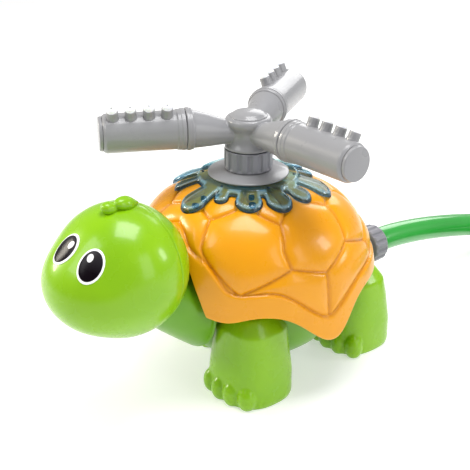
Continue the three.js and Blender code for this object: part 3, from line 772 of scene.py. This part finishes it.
def ellipse_ring(out, z, grow=0.0, count=96):
    angles = round_angles(count)
    x = (BELLY["across"] * out + grow) * np.cos(angles)
    return ring(x, SHELL["middle"] + (BELLY["along"] * out + grow) * np.sin(angles), z)


def belly_hull(grow=0.3):
    """A slightly larger, solid belly, to cut the legs with."""
    outs = (0.4, 0.6, 0.75, 0.86, 0.94, 0.98, 1)
    rings = [ellipse_ring(out, bowl_height(out) - grow, grow, 64) for out in outs]
    return capped(rings + [ellipse_ring(1, BELLY["top"] + grow, grow, 64)])


def make_belly():
    """The lower casing: a bowl with a flat edge, the tail's socket, and three deep wells for the screws."""
    edge, thin = BELLY["top"] - 3, 0.955
    outs = [0.02, 0.25, 0.42, 0.56, 0.67, 0.76, 0.83, 0.89, 0.93, 0.96, 0.98, 0.992, 1]
    outside = [ellipse_ring(out, bowl_height(out)) for out in outs] + [ellipse_ring(1, edge)]
    inside = [ellipse_ring(thin, edge)]
    inside += [ellipse_ring(out * thin, bowl_height(out) + WALL) for out in outs[::-1]]
    tail = spun([(9.6, 70), (13, 70), (12.6, 96), (11.6, 99.4), (9.6, 99.4)], 72, 0.8)
    shapes = [capped(outside + inside), (*along_y(tail), shift(0, 0, INLET_Z))]
    well = spun([(3.6, 12.7), (5.8, 12.7), (5.8, 38.5), (3.6, 38.5)], 40, 0.5)
    shapes += [(*well, shift(x, y, 0)) for x, y in SCREW_PLACES]
    piece("belly_casing", *merged(*shapes), "body_shade", "turtle", "belly")


def make_neck():
    """A pipe from the head down into the shell, with a fine groove round it and a closed, rounded end."""
    (y0, z0, r0), (y1, z1, r1) = NECK["front"], NECK["back"]
    count, steps = 112, 40
    angles = round_angles(count)
    rows = []
    for k in range(steps + 1):
        v = NECK["ends"] * k / steps
        radius = r0 + (r1 - r0) * v - 0.5 * exp(-(((v - 0.85) / 0.02) ** 2))
        z = z0 + (z1 - z0) * v**0.9
        rows.append(ring(radius * np.cos(angles), y0 + (y1 - y0) * v, z + radius * np.sin(angles)))
    end = rows[-1]
    for share, back in ((0.985, 0.8), (0.93, 1.0), (0.9, 0.4)):
        rows.append(middle_ring(end, share) + np.array([0, back, 0]))
    rows += [middle_ring(row, 0.88) for row in rows[-4::-8]]
    faces = grid_faces(len(rows), count, closed_rows=True)
    piece("neck_casing", np.concatenate(rows), faces, "body_shade", "turtle", "neck")


# ------------------------------------------------ head
HEAD = {"y": -106.4, "z": 101, "radius": 42.4, "turn": 0.1, "tilt": 0.2, "seam": 14}
MUZZLE = {"forward": 17.5, "down": 4, "across": 35, "deep": 33.5, "tall": 28.5}
EYE = {"aside": 0.3, "up": 0.53, "wide": 0.185, "tall": 0.25}
HEAD_PLACE = shift(0, HEAD["y"], HEAD["z"]) @ turn("Z", HEAD["turn"]) @ turn("Y", HEAD["tilt"])


def head_reach(directions, inset=0.0):
    """How far the head's surface is from its middle: a round skull run smoothly into an oval muzzle."""
    size = np.array([MUZZLE["across"], MUZZLE["deep"], MUZZLE["tall"]]) - inset
    d = directions / size
    o = np.array([0, MUZZLE["forward"], MUZZLE["down"]]) / size
    b = d @ o
    dd = (d * d).sum(-1)
    to_muzzle = (-b + np.sqrt(np.maximum(0, b * b - dd * (o @ o - 1)))) / dd
    blend = 14
    return ((HEAD["radius"] - inset) ** blend + to_muzzle**blend) ** (1 / blend)


def head_ring(theta, angles, inset=0.0):
    """Points of the head at polar angles theta from its front, one for each angle round."""
    way = ring(np.sin(theta) * np.cos(angles), -np.cos(theta), np.sin(theta) * np.sin(angles))
    return way * head_reach(way, inset)[..., None]


def seam_angle(angles, seam, inset=0.0):
    """The polar angle at which the head's surface reaches the seam's plane."""
    low, high = np.full(angles.shape, 0.3), np.full(angles.shape, 3.0)
    for _ in range(40):
        mid = (low + high) / 2
        y = head_ring(mid, angles, inset)[..., 1]
        low = np.where(y < seam, mid, low)
        high = np.where(y < seam, high, mid)
    return (low + high) / 2


def head_half(front):
    """One half of the head: its outside from the pole to the seam, a small bevel, and its inside back."""
    around, rows, inner_rows = 200, 84 if front else 48, 20
    angles = round_angles(around)
    gap, bevel = 0.1, 0.55
    side = -1 if front else 1
    edge = seam_angle(angles, HEAD["seam"] + side * (gap + bevel))
    pole = 0.0 if front else pi
    outer = [head_ring(pole + (edge - pole) * (0.004 + 0.996 * k / rows), angles) for k in range(rows + 1)]
    inner_edge = seam_angle(angles, HEAD["seam"] + side * gap, WALL)
    lip = head_ring(edge, angles)
    bevels = []
    for t in (0.35, 0.7, 1.0):
        inward = middle_ring(lip, 1 - 0.016 * t * t)
        inward[:, 1] = lip[:, 1] - side * bevel * sin(t * pi / 2)
        bevels.append(inward)
    inner = [head_ring(inner_edge + (pole - inner_edge) * (k / inner_rows * 0.996), angles, WALL)
             for k in range(inner_rows + 1)]
    return capped(outer + bevels + inner)


def tuft_leaf(x, y, rise, long, thick, lean, tail=0.0):
    """A leaf of the tuft: an oval that narrows to a point behind."""
    points, faces = lathe(oval(1, 1, 28), 40)
    shaped = []
    for px, py, pz in points:
        narrow = 1 - 0.62 * max(pz, 0) ** 1.2 * tail
        stretch = 1 + 0.12 * tail * (pz > 0)
        shaped.append((px * thick * narrow, pz * long * stretch, py * thick * 0.9 * narrow))
    return shaped, faces, shift(x, y, HEAD["radius"] + rise) @ turn("X", lean)


def make_tuft():
    """The tuft's two leaves, melted into one skin that sits in the top of the skull."""
    leaves = merged(tuft_leaf(-7, -8, 0, 6.4, 4.6, -0.35), tuft_leaf(-4.5, 3, 1.2, 9.6, 5.2, -0.24, 1.0))
    return mesh_data(remeshed("tuft", *leaves, 0.4, 3))


def make_head():
    front = merged(head_half(True), make_tuft())
    piece("head_front_casing", *front, "turtle_green", "turtle", "head_front", HEAD_PLACE, 50)
    piece("head_rear_casing", *head_half(False), "turtle_green", "turtle", "head_back", HEAD_PLACE, 50)
    for name, side in (("left", 1), ("right", -1)):
        make_eye(name, side)


def make_eye(name, side):
    """A domed oval on the head, with a flat map over its face for its print."""
    aside, up_angle = EYE["aside"], EYE["up"]
    middle = Vector((sin(aside * side) * cos(up_angle), -cos(aside) * cos(up_angle), sin(up_angle)))
    right = Vector((0, 0, 1)).cross(middle).normalized()
    up = middle.cross(right).normalized()
    around, rows = 96, 30
    points, prints = [], []
    for k in range(rows + 5):
        r = min(k / rows, 1) if k else 0.002
        lift = 0.3 + 0.75 * (1 - r**5)
        if k > rows:
            lift = 0.3 - 0.25 * (k - rows)
        for j in range(around):
            angle = 2 * pi * j / around
            u, v = r * cos(angle), r * sin(angle)
            way = (middle + right * (EYE["wide"] * u) + up * (EYE["tall"] * v)).normalized()
            reach = head_reach(np.array([way]))[0] + lift
            points.append(tuple(way * reach))
            prints.append((0.5 + 0.5 * u * side, 0.5 + 0.5 * v))
    rows_of_points = np.array(points).reshape(-1, around, 3)
    body, faces = capped(list(rows_of_points))
    eye = piece(f"eye_{name}_print", body, faces, "eye_black", "turtle", f"eye_{name}", HEAD_PLACE, 60)
    layer = eye.data.uv_layers.new(name="print")
    prints += [(0.5, 0.5), (0.5, 0.99)]
    for loop in eye.data.loops:
        layer.data[loop.index].uv = prints[loop.vertex_index]


# ------------------------------------------------ legs
LEG_TOP = 67
TOE = {"radius": 6.5, "height": 9, "pitch": 11.2}
FEET = [  # place, size across and along, and how narrow it is half way up and near its top
    ("leg_front_left", 35, -29.4, 26.2, 24, 0.92, 0.81), ("leg_front_right", -35, 9, 26.2, 24, 0.92, 0.81),
    ("leg_rear_left", 34.5, 72, 21.5, 23.5, 0.9, 0.68), ("leg_rear_right", -34.5, 64, 21.5, 23.5, 0.9, 0.68),
]


def make_leg(name, x, y, across, along, taper, top):
    """A square-round pillar that narrows upwards, four toes melted into its front, and a flat sole."""
    levels = [
        (0, 0.95), (2, 1), (18, 1), (36, taper), (50, (taper + top) / 2), (60, top - 0.2), (LEG_TOP, 0.22),
    ]
    heights, widths = zip(*levels)
    angles, power = round_angles(96), 2.7
    square = (np.abs(np.cos(angles)) ** power + np.abs(np.sin(angles)) ** power) ** (-1 / power)
    rings = []
    for z in (-6, *np.arange(0, 66.1, 1.5), LEG_TOP):
        wide = np.interp(max(z, 2 if z < 0 else z), heights, widths)
        rings.append(ring(across * wide * square * np.cos(angles), along * wide * square * np.sin(angles), z))
    parts = [capped(rings)]
    toe = lathe(oval(TOE["radius"], TOE["height"], 20), 32)
    for k in (-1.5, -0.5, 0.5, 1.5):
        place = shift(k * TOE["pitch"], -along * (0.77 if abs(k) > 1 else 0.89), TOE["height"] * 0.8)
        parts.append((*toe, place))
    mesh = remeshed(name, *merged(*parts), 0.75, 8)
    ground = capped([[(-60, -60, z), (60, -60, z), (60, 60, z), (-60, 60, z)] for z in (-30, 0)])
    mesh = cut_by(mesh, *ground)
    hull, faces = belly_hull()
    mesh = cut_by(mesh, hull - np.array([x, y, 0]), faces)
    mesh.transform(TO_FRAME @ shift(x, y, 0))
    finish_piece(f"{name}_casing", mesh, "turtle_green", "turtle", name, 45)


# ------------------------------------------------ splash collar
SPLASH = {"inner": 12.8, "ring": 33, "top": 137.2, "thick": 2.4, "clear": 1.8, "cell": 0.8}
LOBES = [  # direction in degrees from +X, reach from the axis, half width at the end
    (-89, 56, 9.2), (-69, 43, 4.8), (-42, 47, 9), (-13, 48, 9), (15, 47, 7.6), (44, 55, 9.2), (71, 47, 5.6),
    (98, 54, 9.2), (124, 47, 6.8), (151, 55, 9.2), (178, 46, 5.6), (207, 54, 8.8), (236, 49, 5.2),
]
PINNED = (-89, -42)  # the directions of the drops with dark pins under them


def splash_edge(x, y):
    """Distance outside the splash's outline, less than 0 inside: a ring with drops that flow out of it."""
    r = np.hypot(x, y)
    distance = r - (SPLASH["ring"] + 1.2)
    soft = 1.5
    for angle, reach, half in LOBES:
        way = np.array([cos(radians(angle)), sin(radians(angle))])
        start, end = SPLASH["ring"] - 3, reach - half
        along = x * way[0] + y * way[1]
        aside = np.abs(x * -way[1] + y * way[0])
        t = np.clip((along - start) / (end - start), 0, 1)
        neck = half * 0.78
        width = neck + (half - neck) * t**1.6
        lobe = np.hypot(along - (start + (end - start) * t), aside) - width
        h = np.clip(0.5 + 0.5 * (distance - lobe) / soft, 0, 1)
        distance = distance + (lobe - distance) * h - soft * h * (1 - h)
    return np.maximum(distance, SPLASH["inner"] - r)


def splash_top(x, y, inside):
    """The splash's upper surface: a flat ring, a step down, then drops that bulge over the shell."""
    r = np.hypot(x, y)
    ground = dome_height(x, y) + SPLASH["clear"]
    round_edge = np.sqrt(np.clip(1 - (1 - np.clip(inside / 2.6, 0, 1)) ** 2, 0, 1))
    swell = 0.5 + SPLASH["thick"] * round_edge + 0.5 * np.clip((r - 40) / 8, 0, 1) * round_edge
    lobe = ground + swell
    plateau = np.maximum(SPLASH["top"], ground + 1)
    return lobe + (np.maximum(plateau, lobe) - lobe) * ease(SPLASH["ring"] + 0.5 - r)


def make_splash():
    cell = SPLASH["cell"]
    half = int(60 / cell)
    ticks = np.arange(-half, half + 1) * cell
    x, y = np.meshgrid(ticks, ticks, indexing="ij")
    centre = ticks[:-1] + cell / 2
    cx, cy = np.meshgrid(centre, centre, indexing="ij")
    keep = splash_edge(cx, cy) < 0
    cells_round = np.zeros(x.shape, int)
    for di in (0, 1):
        for dj in (0, 1):
            cells_round[di:di + keep.shape[0], dj:dj + keep.shape[1]] += keep
    used = cells_round > 0
    border = used & (cells_round < 4)
    px, py = x.copy(), y.copy()
    for _ in range(4):
        step = 0.05
        value = splash_edge(px, py)
        gx = (splash_edge(px + step, py) - splash_edge(px - step, py)) / (2 * step)
        gy = (splash_edge(px, py + step) - splash_edge(px, py - step)) / (2 * step)
        size = gx**2 + gy**2 + 1e-9
        px = np.where(border, px - value * gx / size, px)
        py = np.where(border, py - value * gy / size, py)
    # The points inside the outline settle between their neighbours.
    within = used & ~border
    for _ in range(3):
        for grid in (px, py):
            average = sum(np.roll(grid, way, axis) for axis in (0, 1) for way in (1, -1)) / 4
            grid[within] = average[within]
    number = -np.ones(x.shape, int)
    number[used] = np.arange(used.sum())
    ux, uy = px[used], py[used]
    inside = np.where(border[used], 0, -splash_edge(ux, uy))
    low = dome_height(ux, uy) + SPLASH["clear"]
    low = np.where(border[used], low + 0.1, low)
    high = splash_top(ux, uy, inside)
    count = len(ux)
    points = np.concatenate([ring(ux, uy, high), ring(ux, uy, low)])
    faces = []
    sides = {}
    for i, j in zip(*np.nonzero(keep)):
        quad = [number[i, j], number[i + 1, j], number[i + 1, j + 1], number[i, j + 1]]
        faces.append(tuple(quad))
        faces.append(tuple(k + count for k in reversed(quad)))
        for a, b in zip(quad, quad[1:] + quad[:1]):
            if (b, a) in sides:
                del sides[(b, a)]
            else:
                sides[(a, b)] = True
    faces += [(b, a, a + count, b + count) for a, b in sides]
    skirt = piece("splash_skirt", points, faces, "splash_blue", "turtle", "splash_collar", smooth_angle=55)
    layer = skirt.data.attributes.new("inside", "FLOAT", "POINT")
    layer.data.foreach_set("value", np.concatenate([inside, inside]).astype(np.float32))


def make_splash_pegs():
    """Dark pins under the splash that hold it to the shell, seen through it."""
    parts = []
    for angle, reach, half in [lobe for lobe in LOBES if lobe[0] in PINNED]:
        for along, big in ((reach - half * 0.8, 2.3), (reach - half * 1.6, 1.9)):
            x, y = along * cos(radians(angle + 3)), along * sin(radians(angle + 3))
            z = float(dome_height(x, y))
            high = z + SPLASH["clear"] + 1
            parts.append((*spun([(0, z), (big, z), (big, high), (0, high + 0.3)], 28, 0.5), shift(x, y, 0)))
    for k in range(6):
        x, y = 30 * cos(radians(k * 60 - 77)), 30 * sin(radians(k * 60 - 77))
        pin = spun([(0, 136.6), (0.9, 136.6), (0.9, 137.5), (0, 137.6)], 20)
        parts.append((*pin, shift(x, y, 0)))
    piece("splash_pins", *merged(*parts), "splash_peg", "turtle", [])


# ------------------------------------------------ riser, nuts and hub
SPIN_Z = 154.7
ARM_Z = 169.8
ARM_TURNS = [shift(0, 0, ARM_Z) @ turn("Z", radians(-1.24) + k * 2 * pi / 3) for k in range(3)]
NUT_RIBS = 14
RIB_SIDES = 24
HUB_ROOTS = [(6, 4.2, 6.8), (15.5, 3.1, 8.3), (26, 1.5, 10.6), (38, 0, 12.7)]  # along, drop, radius


def ribbed(ribs, groove, outer, low, high, sharp=3.0, bevel=1.2):
    """A radius for ribs: full in the middle of the ring's length, none at its ends and inside.

    The flanks of the ribs are as steep as sharp says.
    """

    def radius(angle, r, z):
        if r < 0.75 * outer:
            return r
        wave = 0.5 - 0.5 * np.tanh(sharp * (cos(ribs * angle) + 0.25))
        return r - groove * min(max((z - low) / bevel, 0), max((high - z) / bevel, 0), 1) * wave

    return radius


def make_riser():
    """The disc on the splash, the threaded post's throat and the spindle that the spinner turns on."""
    bore, foot, throat, spindle, bottom, seat, top = 4.2, 7, 10.8, 5.9, 118, SPIN_Z - 3, 172
    disc, disc_bottom, disc_edge, disc_top = 26.7, 137.6, 138.8, 140.8
    riser = spun([
        (bore, bottom), (foot, bottom), (foot, disc_bottom), (disc, disc_bottom, 0.5), (disc, disc_edge, 0.7),
        (16.6, disc_top, 4), (throat, disc_top, 0.1), (throat, seat), (spindle, seat), (spindle, top),
        (bore, top),
    ], 144, steps=4)
    piece("riser_disc", *riser, "spinner_grey", "turtle", "riser")


def make_retaining_nut():
    outer, inner, low, high = 15.9, 11.2, 141.1, SPIN_Z
    ribs = ribbed(NUT_RIBS, 1.1, outer, low + 0.6, high - 0.2, 3.5)
    nut = spun([
        (inner, low), (outer - 0.7, low, 0.3), (outer, low + 1.5, 0.8), (outer, high, 0.7), (inner, high),
    ], NUT_RIBS * RIB_SIDES, 0.4, 4, 0.8, ribs)
    piece("riser_nut", *nut, "nut_grey", "turtle", "retaining_nut", smooth_angle=50)


def make_hub():
    """The spinner's middle: a waisted post with a broad shoulder, and three cones that end in collars."""
    foot, waist, shoulder, top = 15.6, 12.4, 15.5, 176.2
    core = spun([
        (0, SPIN_Z + 0.6), (foot, SPIN_Z + 0.6, 0.5), (foot, SPIN_Z + 2, 1), (13.6, SPIN_Z + 5, 3),
        (waist, SPIN_Z + 9, 3), (12.9, SPIN_Z + 13, 2), (14.6, ARM_Z + 0.4, 1), (shoulder, ARM_Z + 2.6, 1),
        (shoulder - 0.5, top - 1.4, 1), (13.6, top, 0.8), (0, top),
    ], 120, 1, 5)
    angles = round_angles(96)
    places, drops, radii = zip(*HUB_ROOTS)
    rings = []
    for along in np.linspace(places[0], places[-1], 25):
        drop, radius = np.interp(along, places, drops), np.interp(along, places, radii)
        rings.append(ring(along, radius * np.cos(angles), radius * np.sin(angles) - drop))
    cone = capped(rings)
    skin = remeshed("hub", *merged(core, *[(*cone, matrix) for matrix in ARM_TURNS]), 0.4, 1)

    def by_junction(points):
        """1 where a cone leaves the post, below its shoulder, and 0 away from there."""
        r = np.hypot(points[:, 0], points[:, 1])
        near = np.clip(1 - np.abs(r - 14.2) / 4.5, 0, 1)
        under = np.clip((ARM_Z + 1.2 - points[:, 2]) / 3, 0, 1)
        return near * (under * np.clip((points[:, 2] - SPIN_Z - 3.2) / 2, 0, 1))

    relaxed(skin, by_junction, 2)
    collar = along_x(spun([
        (9, 36.4), (12.7, 36.4, 0.1), (13.5, 37.4, 0.5), (13.5, 41.4, 0.45), (12.2, 41.4, 0.2), (9, 41.4),
    ], 112))
    band = along_x(spun([(12, 38.9), (13.85, 38.9, 0.2), (13.85, 41.2, 0.35), (12, 41.2)], 112, 0.2))
    shapes = [mesh_data(skin)]
    for matrix in ARM_TURNS:
        shapes += [(*collar, matrix), (*band, matrix)]
    piece("spinner_hub", *merged(*shapes), "spinner_grey", "rotor", "rotor_hub", smooth_angle=48)

    lid = spun([
        (0, top - 0.3), (12.3, top - 0.3, 0.2), (12.3, top + 0.5, 0.5), (11.3, top + 1.1, 0.5),
        (9.6, top + 2.5, 1.6), (5.2, top + 3.7, 2.5), (0, top + 4),
    ], 112, 1, 6)
    piece("hub_lid", *lid, "spinner_grey", "rotor", "hub_cap")


# ------------------------------------------------ spray barrels
BARREL = {"radius": 12.7, "wall": 2, "start": 41.8, "collar": 13.5, "end": 94.4, "twist": 0.38}
NOZZLE = {"first": 53.4, "pitch": 10.9, "radius": 3.7, "height": 5.4, "lean": 0.04, "tip": 2.6, "bore": 0.75}
FLUTES = {"count": 12, "depth": 0.16}


def make_barrel(number):
    """A spray barrel with its cap, and four nozzles with pale tips that lean outwards along it."""
    matrix = ARM_TURNS[number - 1] @ turn("X", -BARREL["twist"])
    body = f"spray_bar_{number}"
    radius, collar, start, end = BARREL["radius"], BARREL["collar"], BARREL["start"], BARREL["end"]
    inner = radius - BARREL["wall"]
    pipe = spun([
        (inner, start), (collar, start, 0.4), (collar, start + 2.6, 0.25), (collar - 0.3, start + 2.9, 0.2),
        (collar - 0.3, start + 5.1, 0.4), (radius, start + 5.7, 0.5), (radius, end - 1.9, 0.8),
        (radius - 1.3, end, 0.5), (inner, end, 0.4),
    ], 128, steps=4)
    piece(f"spray_barrel_{number}", *along_x(pipe), "spinner_grey", body, f"barrel_{number}", matrix)
    cap = spun([
        (0, end - 2), (inner - 0.3, end - 2), (inner - 0.3, end + 0.3, 0.1), (11.3, end + 0.3, 0.2),
        (11.0, end + 2.5, 0.7), (0, end + 2.6),
    ], 112, steps=4)
    piece(f"barrel_end_{number}", *along_x(cap), "spinner_grey", body, f"barrel_cap_{number}", matrix)
    for k in range(4):
        own = matrix @ shift(NOZZLE["first"] + k * NOZZLE["pitch"], 0, 0) @ turn("Y", k * NOZZLE["lean"])
        make_nozzle(f"{number}_{k + 1}", own, body)


def make_nozzle(name, matrix, body):
    """A fluted stub on a small foot, and a pale tip with a hole."""
    side, wide, bore = BARREL["radius"], NOZZLE["radius"], NOZZLE["bore"]
    foot, top = side - 1, side + NOZZLE["height"]
    tip_end = top + NOZZLE["tip"]

    def fluted(angle, r, z):
        if r < 2.2 or z < side + 1.2 or z > top - 0.5:
            return r
        return r - FLUTES["depth"] * (0.5 - 0.5 * cos(FLUTES["count"] * angle))

    stub = spun([
        (1.2, foot), (wide + 0.5, foot, 0.1), (wide + 0.1, side + 1.1, 0.4), (wide, top, 0.45),
        (1.2, top, 0.2),
    ], 72, longest=0.9, shape=fluted)
    piece(f"spray_nozzle_{name}", *stub, "spinner_grey", body, f"nozzle_{name}", matrix, 50)
    tip = spun([
        (bore, top - 0.3), (wide - 0.35, top - 0.3, 0.1), (wide - 0.5, top + 1.0, 0.6),
        (wide - 1.1, tip_end, 0.8), (1.2, tip_end, 0.3), (bore, tip_end - 0.5),
    ], 48, steps=4)
    piece(f"spray_tip_{name}", *tip, "nozzle_white", body, f"nozzle_tip_{name}", matrix)


# ------------------------------------------------ water inlet and couplings
def make_inlet():
    """The threaded inlet behind the tail, and the hose's ribbed nut."""
    root, crest, bore, start, pitch, end = 8.8, 9.6, 5.4, 104.2, 2.3, 124.6
    thread = [(bore, 60), (9.4, 60), (9.4, 100), (11.4, 100, 0.3), (11.4, 103, 0.4), (9.2, 103, 0.2)]
    for k in range(9):
        at = start + k * pitch
        thread += [(root, at), (crest, at + 0.75, 0.3), (crest, at + 1.15, 0.3)]
    thread += [(root, end, 0.3), (bore, end)]
    place = shift(0, 0, INLET_Z)
    piece("threaded_inlet", *along_y(spun(thread, 96, 0.4)), "spinner_grey", "turtle", "inlet_fitting", place)
    outer, bore, socket, start, end = 14, 6.7, 10, 118.6, 131.6
    ribs = ribbed(NUT_RIBS, 1.25, outer, start + 0.2, end - 0.6, bevel=1.4)
    nut = spun([
        (socket, start), (outer - 1.2, start, 0.3), (outer, start + 1.2, 0.7), (outer, end - 1.6, 0.8),
        (outer - 1.5, end, 0.5), (bore, end, 0.3), (bore, end - 2.4), (socket, end - 2.4),
    ], NUT_RIBS * RIB_SIDES, 0.3, 4, 0.8, ribs)
    piece("hose_nut_ribbed", *along_y(nut), "nut_grey", "hose_collar", "hose_nut", place, 50)


def make_coupling():
    """The quick connector on the hose's far end, which lies on the coil and points back at the turtle."""
    sleeve, grip, bore, start, end, floor, rib_count = 12.4, 15, 8.2, 12.5, 60, 42, 16
    outline = refined(rounded([
        (0, start), (sleeve, start, 0.6), (sleeve, 26.5, 0.4), (grip, 29.5, 0.8), (grip, 50, 0.8),
        (13.4, end, 0.6), (bore, end, 0.4), (bore, floor, 0.2), (0, floor),
    ], 0.4)[:-1], 1.0)
    walls = [p for p in outline if p[0] > 0.01]
    ribs = ribbed(rib_count, 0.8, grip, 30, 49.5, 2.5)
    body = lathe([(0, start)] + walls + [(0, floor)], rib_count * 16, ribs)
    place = shift(COIL["x"] + COIL["middle"], COIL["y"], COUPLING_Z) @ turn("Z", -pi / 2)
    return piece("hose_coupling", *along_x(body), "nut_grey", "turtle", "hose_connector", place, 50)


# ------------------------------------------------ build
# The CAD nodes that stay as they are, out of sight.
INNER_PARTS = {
    "belly_screw_1": "screw_steel", "belly_screw_2": "screw_steel", "belly_screw_3": "screw_steel",
    "thrust_washer": "washer_white", "supply_tube": "rubber_black", "hose_washer": "rubber_black",
    "hose_stem": "nut_grey",
}


def dress(node, material):
    """Gives a CAD node that stays its procedural material."""
    thing = frame["nodes"][node]
    thing.data.materials.clear()
    thing.data.materials.append(MATERIALS[material])


make_camera()
hose = make_hose()
make_studio()
make_inlet()
coupling = make_coupling()
make_shell()
make_belly()
make_neck()
make_head()
for foot in FEET:
    make_leg(*foot)
make_splash()
make_splash_pegs()
make_riser()
make_retaining_nut()
make_hub()
for arm in (1, 2, 3):
    make_barrel(arm)
for node, material in INNER_PARTS.items():
    dress(node, material)
